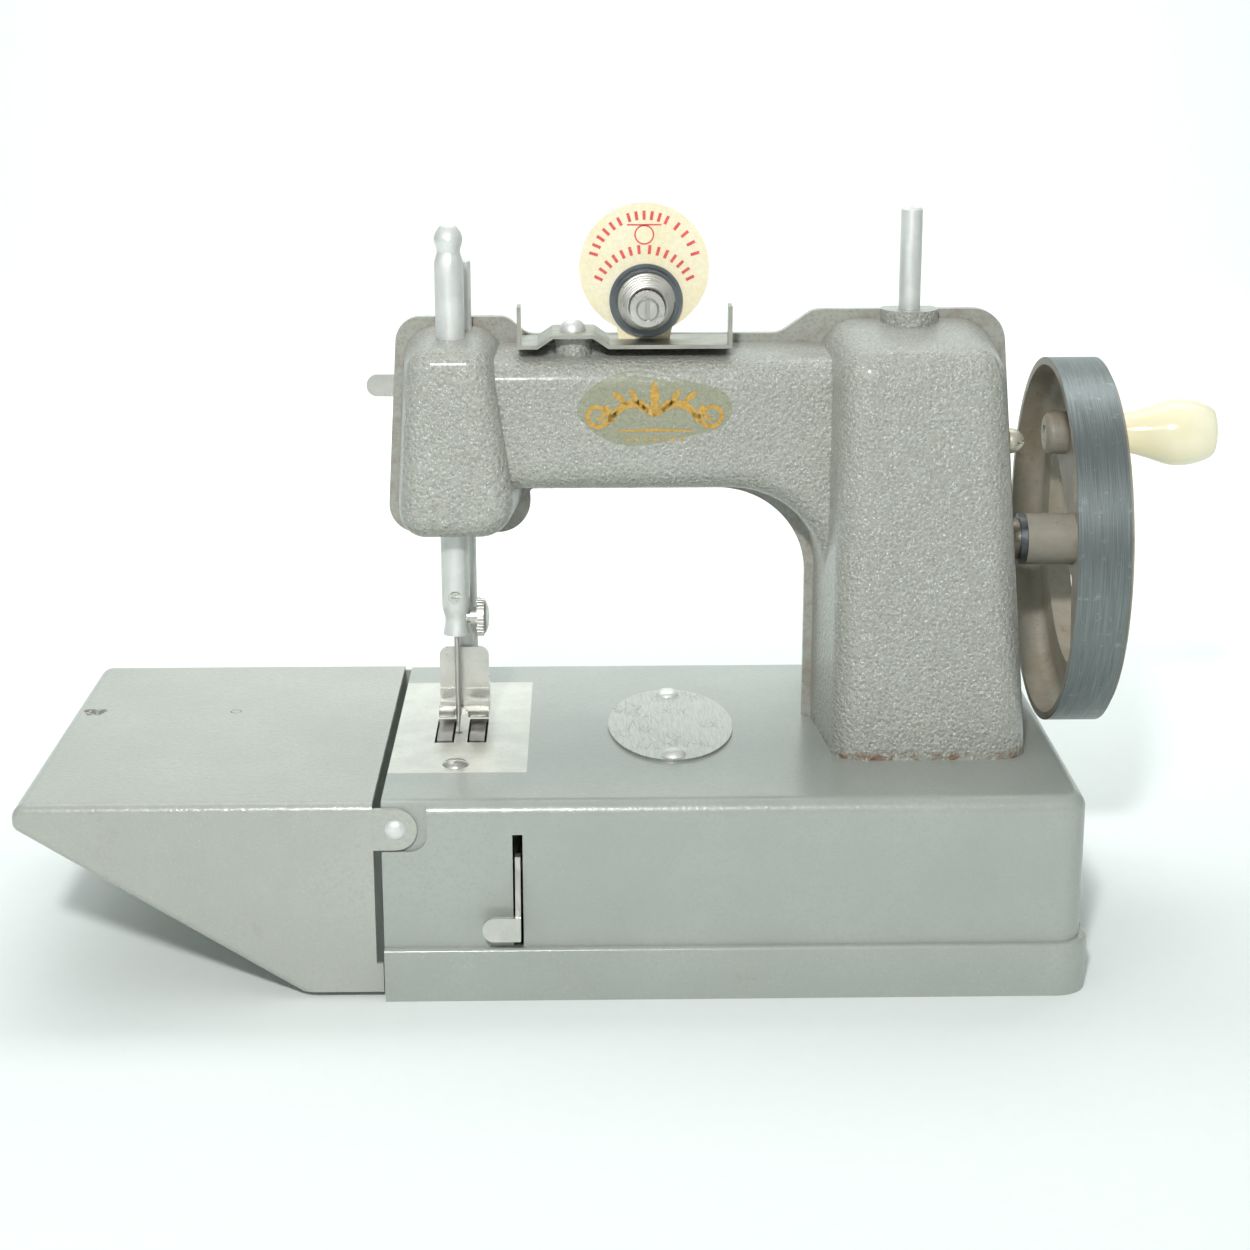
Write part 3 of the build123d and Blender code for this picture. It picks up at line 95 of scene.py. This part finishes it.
class Material:
    """A node material under construction; its methods return sockets."""

    def __init__(self, name):
        self.material = bpy.data.materials.new(name)
        self.material.use_nodes = True
        self.tree = self.material.node_tree
        self.shader = self.tree.nodes["Principled BSDF"]
        self.place = add_node(self.tree, "ShaderNodeTexCoord").outputs["Object"]

    def stretched(self, factors):
        """The object's coordinates times a factor along each axis."""
        return add_node(self.tree, "ShaderNodeVectorMath", {0: self.place, 1: factors},
                        operation="MULTIPLY").outputs[0]

    def noise(self, scale, detail=3.0, roughness=0.55, distortion=0.0, place=None):
        return add_node(self.tree, "ShaderNodeTexNoise",
                        {"Vector": place or self.place, "Scale": scale, "Detail": detail,
                         "Roughness": roughness, "Distortion": distortion}).outputs["Fac"]

    def cells(self, scale, feature="F1", place=None, smoothness=None):
        inputs = {"Vector": place or self.place, "Scale": scale}
        if smoothness is not None:
            inputs["Smoothness"] = smoothness
        return add_node(self.tree, "ShaderNodeTexVoronoi", inputs, feature=feature).outputs["Distance"]

    def warped(self, scale, amount):
        """The object's coordinates moved about by noise, for rough outlines."""
        cloud = add_node(self.tree, "ShaderNodeTexNoise",
                         {"Vector": self.place, "Scale": scale, "Detail": 2.0}).outputs["Color"]
        centred = add_node(self.tree, "ShaderNodeVectorMath", {0: cloud, 1: (0.5, 0.5, 0.5)},
                           operation="SUBTRACT").outputs[0]
        grown = add_node(self.tree, "ShaderNodeVectorMath", {0: centred, "Scale": amount},
                         operation="SCALE").outputs[0]
        return add_node(self.tree, "ShaderNodeVectorMath", {0: self.place, 1: grown},
                        operation="ADD").outputs[0]

    def maths(self, operation, first, second=0.0, third=0.0):
        return add_node(self.tree, "ShaderNodeMath", {0: first, 1: second, 2: third},
                        operation=operation).outputs[0]

    def between(self, value, low, high, to_low=0.0, to_high=1.0):
        """Maps a value from low..high to to_low..to_high, with soft ends."""
        return add_node(self.tree, "ShaderNodeMapRange",
                        {"Value": value, "From Min": low, "From Max": high, "To Min": to_low,
                         "To Max": to_high}, interpolation_type="SMOOTHSTEP").outputs["Result"]

    def axis(self, letter):
        """One of the object's coordinates, in metres."""
        return add_node(self.tree, "ShaderNodeSeparateXYZ", {0: self.place}).outputs[letter]

    def mixed(self, factor, first, second):
        return add_node(self.tree, "ShaderNodeMix", {"Factor": factor, 6: first, 7: second},
                        data_type="RGBA").outputs[2]

    def bump(self, height, strength, distance, below=None):
        inputs = {"Height": height, "Strength": strength, "Distance": distance}
        if below is not None:
            inputs["Normal"] = below
        return add_node(self.tree, "ShaderNodeBump", inputs).outputs["Normal"]

    def finished(self, **inputs):
        """Fills the shader's inputs by name, with underscores for spaces, and gives the material."""
        for name, value in inputs.items():
            socket = self.shader.inputs[name.replace("_", " ")]
            if isinstance(value, bpy.types.NodeSocket):
                self.tree.links.new(value, socket)
            else:
                socket.default_value = value
        return self.material


# ---- materials ----
def shaded(colour, factor):
    """A colour made darker or lighter, kept in range."""
    return [min(1.0, part * factor) for part in colour[:3]] + [1]


def enamel(name, colour, pit_size, pit_depth, painted_glint_strength, pit_shade_factor, rust_low=None, smooth_from=None):
    """Stove enamel with small pits darkened by painted shade, pale flecks that are painted highlights, and
    dust; rust below a height and along the seam at a depth, in front of which the pits and painted
    highlights end."""
    made = Material(name)
    spread = made.warped(900, 0.8 * MM)
    pits = made.cells(1 / pit_size, "SMOOTH_F1", spread, 0.3)
    ripple = made.noise(1.3 / pit_size, 3.0, 0.6)
    height = made.maths("ADD", made.maths("MULTIPLY", pits, 0.9), made.maths("MULTIPLY", ripple, 0.6))
    front = 1.0
    if smooth_from is not None:
        front = made.between(made.axis("Y"), smooth_from - 4 * MM, smooth_from, 1.0, 0.12)
    normal = made.bump(made.maths("MULTIPLY", height, front), 1.0, pit_depth)
    # Painted highlights: pale glints mixed into the enamel's colour, fading out towards the smooth front.
    painted_glint = made.between(made.noise(2.2 / pit_size, 4.0, 0.75), 0.56, 0.66, 0.0, painted_glint_strength)
    painted_glint = made.maths("MULTIPLY", painted_glint, front)
    tone = made.between(made.noise(28, 4.0, 0.6), 0.3, 0.75)
    paint = made.mixed(tone, shaded(colour, 0.93), shaded(colour, 1.06))
    # Painted shade: the paint colour darkened inside the pits by the factor given.
    shaded_pits = made.mixed(made.between(pits, 0.1, 0.6), shaded(colour, pit_shade_factor), paint)
    painted_shade_and_glints = made.mixed(painted_glint, shaded_pits, PAINTED_GLINT)
    grime = made.between(made.noise(95, 5.0, 0.72), 0.60, 0.80, 0.0, 0.35)
    dust_and_painted_light = made.mixed(grime, painted_shade_and_glints, DUST)
    if rust_low is not None:
        bottom, top = rust_low
        near = made.between(made.axis("Z"), bottom, top, 1.0, 0.0)
        patches = made.between(made.noise(210, 5.0, 0.7), 0.42, 0.66)
        from_seam = made.maths("ABSOLUTE", made.maths("SUBTRACT", made.axis("Y"), smooth_from + 3 * MM))
        seam = made.between(from_seam, 0.4 * MM, 1.8 * MM, 0.8, 0.0)
        dust_and_painted_light = made.mixed(made.maths("MULTIPLY", made.maths("MAXIMUM", near, seam), patches), dust_and_painted_light, RUST)
    rough = made.between(ripple, 0.3, 0.8, 0.28, 0.42)
    return made.finished(Base_Color=dust_and_painted_light, Roughness=rough, Metallic=0.0, Normal=normal,
                         Specular_IOR_Level=0.6, Coat_Weight=0.3, Coat_Roughness=0.18)


def bare_metal(name, colour, roughness, speck=0.25, grain=None, speck_colour=DARK_STEEL, metallic=1.0):
    """Worn bare metal: cloudy tone, small dark specks, and a fine grain along one axis if given."""
    made = Material(name)
    cloud = made.noise(120, 4.0, 0.6)
    tone = made.mixed(made.between(cloud, 0.3, 0.7), shaded(colour, 0.86), colour)
    specks = made.between(made.noise(900, 4.0, 0.75), 0.62, 0.76, 0.0, speck)
    spotted = made.mixed(specks, tone, speck_colour)
    lines = made.noise(700, 3.0, 0.6, place=made.stretched(grain) if grain else None)
    rough = made.maths("ADD", made.between(lines, 0.3, 0.7, roughness * 0.8, roughness * 1.3),
                       made.maths("MULTIPLY", specks, 0.4))
    normal = made.bump(lines, 0.35, 0.05 * MM)
    return made.finished(Base_Color=spotted, Metallic=metallic, Roughness=rough, Normal=normal)


def scratched_aluminium():
    """The badge: brushed aluminium with long, loose scratches."""
    made = Material("badge_aluminium")
    fine = made.noise(260, 3.0, 0.6, place=made.stretched((14, 1, 1)))
    bent = made.warped(60, 9 * MM)
    crossing = add_node(made.tree, "ShaderNodeMapping", {"Vector": bent, "Rotation": (0, 0, 0.9),
                                                        "Scale": (1, 0.16, 1)}).outputs[0]
    other = add_node(made.tree, "ShaderNodeMapping", {"Vector": bent, "Rotation": (0, 0, -0.45),
                                                     "Scale": (1, 0.2, 1)}).outputs[0]
    first = made.between(made.cells(430, "DISTANCE_TO_EDGE", crossing), 0.0, 0.045, 1.0, 0.0)
    second = made.between(made.cells(300, "DISTANCE_TO_EDGE", other), 0.0, 0.03, 1.0, 0.0)
    patch = made.between(made.noise(75, 2.0), 0.48, 0.62)
    scratches = made.maths("MULTIPLY", made.maths("MAXIMUM", first, second), patch)
    tone = made.mixed(made.between(fine, 0.3, 0.7), (0.44, 0.445, 0.42, 1), (0.56, 0.565, 0.54, 1))
    colour = made.mixed(made.maths("MULTIPLY", scratches, 0.7), tone, (0.20, 0.20, 0.20, 1))
    normal = made.bump(made.maths("SUBTRACT", fine, scratches), 0.5, 0.06 * MM)
    return made.finished(Base_Color=colour, Metallic=0.85, Roughness=0.36, Normal=normal)


def wheel_metal():
    """The hand wheel: brown-grey paint inside, bare turned steel on the rim's outside."""
    made = Material("wheel_paint_and_steel")
    low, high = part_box("hand_wheel")
    centre = (low + high) / 2
    outside = (high.z - low.z) / 2
    across = made.maths("SUBTRACT", made.axis("Y"), centre.y)
    up = made.maths("SUBTRACT", made.axis("Z"), centre.z)
    radius = made.maths("SQRT", made.maths("ADD", made.maths("MULTIPLY", across, across),
                                           made.maths("MULTIPLY", up, up)))
    on_rim = made.between(radius, outside - 0.5 * MM, outside - 0.3 * MM)
    turning = made.noise(9000, 2.0, 0.5, place=made.stretched((1, 0.01, 0.01)))
    wear = made.between(made.noise(420, 5.0, 0.75), 0.56, 0.72, 0.0, 0.75)
    steel = made.mixed(made.between(turning, 0.35, 0.65), RIM_STEEL, shaded(RIM_STEEL, 1.5))
    worn = made.mixed(wear, steel, WORN_RIM)
    patches = made.noise(55, 5.0, 0.65)
    paint = made.mixed(made.between(patches, 0.35, 0.65), WHEEL_PAINT, WHEEL_PAINT_PALE)
    rusty = made.mixed(made.between(made.noise(300, 5.0, 0.75), 0.55, 0.75, 0.0, 0.7), paint, RUST)
    colour = made.mixed(on_rim, rusty, worn)
    pits = made.cells(520, "SMOOTH_F1", made.warped(420, 1.5 * MM), 0.4)
    relief = made.mixed(on_rim, pits, turning)
    normal = made.bump(relief, 0.6, made.between(on_rim, 0.0, 1.0, 0.14 * MM, 0.02 * MM))
    rough = made.between(on_rim, 0.0, 1.0, 0.5, 0.42)
    return made.finished(Base_Color=colour, Metallic=made.maths("MULTIPLY", on_rim, 0.85),
                         Roughness=rough, Normal=normal)


def ivory(name, colour, roughness):
    """Aged ivory plastic or enamel: warm, glossy, with faint yellow clouds and fine scuffs."""
    made = Material(name)
    cloud = made.between(made.noise(60, 4.0, 0.55), 0.3, 0.7)
    aged = made.mixed(cloud, colour, [colour[0] * 0.97, colour[1] * 0.92, colour[2] * 0.80, 1])
    scuffs = made.noise(900, 5.0, 0.7, place=made.stretched((1, 4, 1)))
    stained = made.mixed(made.between(made.noise(330, 5.0, 0.8), 0.68, 0.80, 0.0, 0.5), aged, DUST)
    rough = made.between(scuffs, 0.3, 0.75, roughness * 0.8, roughness * 1.6)
    return made.finished(Base_Color=stained, Roughness=rough, Subsurface_Weight=0.12,
                         Subsurface_Radius=(0.004, 0.003, 0.0015), Normal=made.bump(scuffs, 0.08, 0.1 * MM),
                         Specular_IOR_Level=0.55)


def print_ink(name, colour, wear):
    """Printed or transferred paint, thin and slightly worn."""
    made = Material(name)
    grains = made.noise(1500, 4.0, 0.8)
    tone = made.mixed(made.between(grains, 0.35, 0.7), colour, shaded(colour, 1.75))
    return made.finished(Base_Color=tone, Roughness=0.38, Metallic=wear,
                         Normal=made.bump(grains, 0.4, 0.08 * MM))


def varnish_film():
    """Clear yellowed varnish, seen as a faint smooth tint on the enamel."""
    made = Material("varnish_film")
    cloud = made.between(made.noise(700, 4.0, 0.6), 0.3, 0.7, 0.35, 0.6)
    return made.finished(Base_Color=VARNISH, Roughness=0.4, Alpha=cloud)


def rubbed_paint():
    """Paint rubbed through to dark primer, with ragged edges."""
    made = Material("rubbed_paint")
    ragged = made.between(made.noise(900, 5.0, 0.7), 0.38, 0.55, 0.0, 0.85)
    tone = made.mixed(made.noise(400, 3.0, 0.6), (0.13, 0.12, 0.10, 1), (0.27, 0.24, 0.20, 1))
    return made.finished(Base_Color=tone, Roughness=0.6, Alpha=ragged)


def paper():
    """The pale backdrop: nearly flat, with a faint weave."""
    made = Material("backdrop")
    grain = made.noise(240, 2.0, 0.5)
    tone = made.mixed(grain, (0.83, 0.87, 0.855, 1), (0.86, 0.895, 0.88, 1))
    return made.finished(Base_Color=tone, Roughness=0.9, Specular_IOR_Level=0.1,
                         Normal=made.bump(grain, 0.05, 0.2 * MM))


base_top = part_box("base_shell")[1].z
# In these calls the fifth number is the strength of the painted glints, and the sixth is how far the
# painted shade darkens the pits.
arm_paint = enamel("arm_enamel", ENAMEL, 0.95 * MM, 0.42 * MM, 1.0, 0.82,
                   (base_top, base_top + 3 * MM), 5 * MM)
base_paint = enamel("base_enamel", ENAMEL_SIDE, 1.2 * MM, 0.05 * MM, 0.12, 0.97)
tray_paint = enamel("tray_enamel", ENAMEL_SIDE, 1.2 * MM, 0.05 * MM, 0.12, 0.97)
leaf_paint = enamel("leaf_enamel", LEAF, 1.2 * MM, 0.08 * MM, 0.2, 0.94)
plate_steel = bare_metal("plate_steel", PLATE_STEEL, 0.34, 0.12, (1, 12, 1), DUST, 0.55)
nickel = bare_metal("worn_nickel", NICKEL, 0.34, 0.35, None, TAN_STAIN, 0.85)
aluminium = bare_metal("satin_aluminium", ALUMINIUM, 0.46, 0.22, (1, 1, 0.1), DARK_STEEL, 0.5)
dull_steel = bare_metal("dull_steel", DULL_STEEL, 0.42, 0.7, (0.2, 1, 1), RUST)
sheet_steel = bare_metal("sheet_steel", STEEL, 0.40, 0.4)
fastener_steel = bare_metal("fastener_steel", FASTENER_STEEL, 0.30, 0.45, None, RUST)
aged_steel = bare_metal("aged_steel", BLUED_STEEL, 0.38, 0.5, None, RUST)
brass = bare_metal("brass", BRASS, 0.30, 0.3)
bush_steel = bare_metal("bush_steel", BUSH_STEEL, 0.42, 0.7, None, RUST)
screw_steel = bare_metal("pale_screw", PALE_SCREW, 0.45, 0.35, None, DUST, 0.7)
handle_ivory = ivory("handle_ivory", IVORY, 0.16)
dial_ivory = ivory("dial_ivory", DIAL_IVORY, 0.24)

FINISHES = {
    arm_paint: ("front_shell", "back_shell"),
    base_paint: ("base_shell",),
    tray_paint: ("base_tray",),
    leaf_paint: ("table_leaf",),
    plate_steel: ("needle_plate",),
    scratched_aluminium(): ("badge_plate",),
    nickel: ("presser_foot", "presser_collar", "needle", "needle_collar", "thumb_screw", "lifter_lever",
             "regulator_lever", "tension_stud", "tension_nut", "tension_spring", "presser_spring",
             "needle_set_screw", "needle_plate_screw"),
    aluminium: ("needle_bar", "spool_pin", "presser_bar", "badge_rivets", "guide_rivet", "leaf_rivets"),
    dull_steel: ("thread_guide_strip",),
    sheet_steel: ("tray_posts", "gear_frame", "needle_rocker", "looper_bearing", "regulator_bracket",
                  "feed_guide", "feed_bar", "feed_dogs", "main_shaft", "looper_shaft", "crank_disc",
                  "looper", "feed_cam", "handle_pin"),
    fastener_steel: ("tray_screws", "shell_screws", "foot_screws", "frame_screws", "regulator_pivot",
                      "lifter_pivot", "rocker_pivot", "idler_stud"),
    aged_steel: ("tension_washers", "shaft_washer"),
    bush_steel: ("shaft_bush",),
    screw_steel: ("side_screw",),
    brass: ("drive_gear", "idler_gear", "looper_gear"),
    wheel_metal(): ("hand_wheel",),
    handle_ivory: ("crank_handle",),
    dial_ivory: ("tension_plate",),
}
for material, names in FINISHES.items():
    for name in names:
        slots = nodes[name].data.materials
        for index in range(len(slots)):
            slots[index] = material
        if not slots:
            slots.append(material)


# ---- thin paint marks ----
def make_mark(name, faces, material, body):
    """A thin painted mark: flat faces from rings of corner points."""
    mesh = bpy.data.meshes.new(name)
    corners = [corner for face in faces for corner in face]
    rings = []
    for face in faces:
        start = sum(len(ring) for ring in rings)
        rings.append(list(range(start, start + len(face))))
    mesh.from_pydata(corners, [], rings)
    mesh.materials.append(material)
    piece = bpy.data.objects.new(name, mesh)
    bpy.context.scene.collection.objects.link(piece)
    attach(piece, body)
    return piece


def ribbon(points, widths):
    """Quads along a flat line of (x, z) points, as wide as asked at each point."""
    sides = []
    for index, (x, z) in enumerate(points):
        before = points[max(index - 1, 0)]
        after = points[min(index + 1, len(points) - 1)]
        along = Vector((after[0] - before[0], after[1] - before[1])).normalized()
        half = widths[index] / 2
        sides.append(((x - along.y * half, z + along.x * half), (x + along.y * half, z - along.x * half)))
    return [(a[0], b[0], b[1], a[1]) for a, b in zip(sides, sides[1:])]


def petal(x, z, length, width, angle):
    """A leaf shape with its stalk at (x, z), pointing along the angle."""
    outline = []
    for step in range(20):
        turn = 2 * math.pi * step / 20
        along = length * (1 - math.cos(turn)) / 2
        aside = width / 2 * math.sin(turn) * (0.55 + 0.45 * along / length)
        outline.append((x + along * math.cos(angle) - aside * math.sin(angle),
                        z + along * math.sin(angle) + aside * math.cos(angle)))
    return outline


def scroll(side):
    """One half of the flourish: a stem that rises, falls and curls up, with leaves on it."""
    faces = []
    stem = []
    widths = []
    for step in range(41):
        part = step / 40
        stem.append((side * (1.5 + 10.5 * part), 2.6 * math.sin(math.pi * part * 1.15) - 2.2 * part))
        widths.append(1.0 + 0.7 * math.sin(math.pi * part))
    end_x, end_z = stem[-1]
    for step in range(1, 41):
        part = step / 40
        turn = math.radians(-115 + 400 * part)
        reach = 2.9 - 2.0 * part
        stem.append((end_x + side * (reach * math.cos(turn) + 1.2), end_z + reach * math.sin(turn) + 2.6))
        widths.append(1.1 - 0.4 * part)
    faces += ribbon(stem, widths)
    for place, angle, length in ((8, 62, 4.4), (18, 40, 4.6), (27, -55, 3.6), (34, 75, 3.4)):
        lean = math.radians(angle)
        faces.append(petal(*stem[place], length, 1.7, lean if side > 0 else math.pi - lean))
    return faces


def laid_on(node, rings, towards, lift):
    """Rings of points dropped onto a CAD node along a direction, and lifted a little off it."""
    surface = BVHTree.FromObject(nodes[node], bpy.context.evaluated_depsgraph_get())
    laid = []
    for ring in rings:
        hits = [surface.ray_cast(point, towards) for point in ring]
        laid.append([hit + normal * lift for hit, normal, _, _ in hits])
    return laid


def onto_arm(faces, lift):
    """Flat (x, z) faces in millimetres from the mark's middle, laid on the front of the arm."""
    middle_x, middle_z = FLOURISH_MIDDLE
    rings = [[Vector(((middle_x + x) * MM, -0.2, (middle_z + z) * MM)) for x, z in face]
             for face in faces]
    return laid_on("front_shell", rings, Vector((0, 1, 0)), lift)


def onto_leaf(faces, middle_x, middle_y):
    """Flat (x, y) faces in millimetres from a middle, laid on top of the folding leaf."""
    rings = [[Vector(((middle_x + x) * MM, (middle_y + y) * MM, 0.2)) for x, y in face] for face in faces]
    return laid_on("table_leaf", rings, Vector((0, 0, -1)), 0.04 * MM)


def make_leaf_marks():
    """A small punch ring and a rubbed patch on the folding leaf."""
    ring = [(PUNCH_RING_RADIUS * math.cos(turn), PUNCH_RING_RADIUS * math.sin(turn))
            for turn in (2 * math.pi * step / 24 for step in range(25))]
    make_mark("punch_ring", onto_leaf(ribbon(ring, [0.35] * 25), *PUNCH_RING_PLACE), rub, "leaf")
    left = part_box("table_leaf")[0].x / MM
    rubbed = [((2.6 + 0.7 * math.sin(3 * turn)) * math.cos(turn),
               (3.4 + 1.1 * math.cos(2 * turn)) * math.sin(turn))
              for turn in (2 * math.pi * step / 30 for step in range(30))]
    from_left, middle_y = RUBBED_PATCH_PLACE
    make_mark("rubbed_patch", onto_leaf([rubbed], left + from_left, middle_y), rub, "leaf")


def make_flourish():
    """A plain gold scroll with leaves on a film of clear varnish, in place of a maker's transfer."""
    edge = [(18.0 * math.cos(turn), 0.6 + (8.3 + 1.1 * math.sin(3 * turn + 1.6)) * math.sin(turn))
            for turn in (2 * math.pi * step / 64 for step in range(65))]
    film = []
    for ring in range(6):
        inner, outer = ring / 6, (ring + 1) / 6
        film += [[(a[0] * inner, a[1] * inner), (b[0] * inner, b[1] * inner),
                  (b[0] * outer, b[1] * outer), (a[0] * outer, a[1] * outer)][0 if inner else 1:]
                 for a, b in zip(edge, edge[1:])]
    make_mark("varnish_film", onto_arm(film, 0.05 * MM), varnish, "base")
    faces = scroll(1) + scroll(-1)
    faces += [petal(0, -1.2, 8.2, 2.6, math.radians(90)), petal(0, -1.2, 5.6, 2.2, math.radians(45)),
              petal(0, -1.2, 5.6, 2.2, math.radians(135))]
    faces += ribbon([(x, -4.4 - 0.004 * x * x) for x in range(-9, 10)],
                    [0.75 - 0.05 * abs(x) for x in range(-9, 10)])
    faces += [petal(2.1 * step - 0.6, -6.6, 1.2, 0.8, 0.0) for step in range(-3, 4)]
    make_mark("gold_flourish", onto_arm(faces, 0.10 * MM), gold, "base")


def make_dial_marks():
    """Red strokes in two arcs and a loop-of-thread sign on the ivory plate."""
    low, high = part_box("tension_plate")
    front = low.y - 0.03 * MM
    middle = (low.x + high.x) / 2
    plate_z = high.z - (high.x - low.x) / 2
    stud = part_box("tension_stud")
    stud_z = (stud[0].z + stud[1].z) / 2

    def strokes(centre_z, radius, groups):
        """Short radial strokes round a centre, in groups of angles from the top, in degrees."""
        made = []
        for first, last, count in groups:
            for step in range(count):
                turn = math.radians(first + (last - first) * step / (count - 1))
                out = Vector((math.sin(turn), math.cos(turn)))
                side = Vector((out.y, -out.x)) * 0.36 * MM
                base = out * (radius - 1.05 * MM)
                tip = out * (radius + 1.05 * MM)
                made.append([(middle + p.x, front, centre_z + p.y)
                             for p in (base - side, base + side, tip + side, tip - side)])
        return made

    make_mark("upper_strokes", strokes(plate_z, 12.3 * MM, ((-74, -28, 6), (-17, 25, 6), (38, 74, 4))),
              red_ink, "base")
    make_mark("lower_strokes", strokes(stud_z, 11.9 * MM, ((-64, -6, 7), (6, 64, 7))), red_ink, "base")
    line_z = plate_z + 10.1 * MM
    ring_z = plate_z + 7.8 * MM
    bar = [(middle - 4 * MM, line_z), (middle + 4 * MM, line_z)]
    ring = [(middle + 2.15 * MM * math.sin(turn), ring_z + 2.15 * MM * math.cos(turn))
            for turn in (2 * math.pi * step / 40 for step in range(41))]
    faces = ribbon(bar, [0.36 * MM] * 2) + ribbon(ring, [0.36 * MM] * 41)
    make_mark("loop_sign", [[(x, front, z) for x, z in face] for face in faces], red_ink, "base")


rub = rubbed_paint()
varnish = varnish_film()
gold = print_ink("gold_paint", GOLD, 0.25)
red_ink = print_ink("red_ink", RED, 0.0)
make_flourish()
make_dial_marks()
make_leaf_marks()


# ---- floor, backdrop, lights and camera ----
def make_backdrop():
    """A pale floor that curves up into a wall far behind."""
    depth, width, bend = 1.6, 3.2, 0.5
    outline = [(-2.4, 0.0), (depth - bend, 0.0)]
    for step in range(1, 13):
        turn = math.radians(90) * step / 12
        outline.append((depth - bend + bend * math.sin(turn), bend - bend * math.cos(turn)))
    outline.append((depth, 2.4))
    points = [(x, y, z) for y, z in outline for x in (-width, width)]
    faces = [(2 * i, 2 * i + 1, 2 * i + 3, 2 * i + 2) for i in range(len(outline) - 1)]
    mesh = bpy.data.meshes.new("backdrop")
    mesh.from_pydata(points, [], faces)
    mesh.polygons.foreach_set("use_smooth", [True] * len(mesh.polygons))
    sweep = bpy.data.objects.new("backdrop", mesh)
    bpy.context.scene.collection.objects.link(sweep)
    mesh.materials.append(paper())


def area_light(name, place, target, size, power, colour=(1, 1, 1)):
    data = bpy.data.lights.new(name, "AREA")
    data.shape = "DISK"
    data.size = size
    data.energy = power
    data.color = colour
    lamp = bpy.data.objects.new(name, data)
    lamp.location = place
    lamp.rotation_euler = (Vector(target) - Vector(place)).to_track_quat("-Z", "Y").to_euler()
    bpy.context.scene.collection.objects.link(lamp)


def make_camera():
    """The camera of the studio shot: a short telephoto, a little above the machine."""
    down, turn, roll = math.radians(15.98), math.radians(0.92), math.radians(-0.13)
    ahead = Vector((math.sin(turn) * math.cos(down), math.cos(turn) * math.cos(down), -math.sin(down)))
    right = ahead.cross(Vector((0, 0, 1))).normalized()
    up = right.cross(ahead)
    leaned_right = math.cos(roll) * right + math.sin(roll) * up
    leaned_up = math.cos(roll) * up - math.sin(roll) * right
    data = bpy.data.cameras.new("camera")
    data.sensor_width = 36.0
    data.lens = 69.12
    data.clip_start, data.clip_end = 0.05, 20
    camera = bpy.data.objects.new("camera", data)
    axes = Matrix((leaned_right, leaned_up, -ahead)).transposed()
    camera.matrix_world = Matrix.Translation((-0.0128, -0.5614, 0.2342)) @ axes.to_4x4()
    bpy.context.scene.collection.objects.link(camera)
    bpy.context.scene.camera = camera


make_backdrop()
area_light("flash", (-0.10, -0.72, 0.55), (0, 0, 0.08), 0.07, 5.0, (0.98, 1.0, 0.99))
area_light("left_softbox", (-0.9, -0.6, 0.9), (0, 0, 0.08), 0.7, 1.2, (0.98, 1.0, 0.99))
area_light("right_softbox", (0.9, -0.5, 0.8), (0, 0, 0.08), 0.7, 0.9, (0.98, 1.0, 0.99))
area_light("overhead", (0.0, 0.2, 1.5), (0, 0.1, 0), 1.2, 2.2, (0.97, 1.0, 0.99))
area_light("wall_light", (0.0, 0.6, 1.0), (0.0, 1.45, 0.1), 1.4, 15.0, (0.97, 1.0, 0.99))
make_camera()

world = bpy.data.worlds.new("surroundings")
bpy.context.scene.world = world
world.use_nodes = True
world.node_tree.nodes["Background"].inputs["Color"].default_value = (0.86, 0.93, 0.92, 1)
world.node_tree.nodes["Background"].inputs["Strength"].default_value = 0.28
bpy.context.scene.view_settings.view_transform = "Standard"
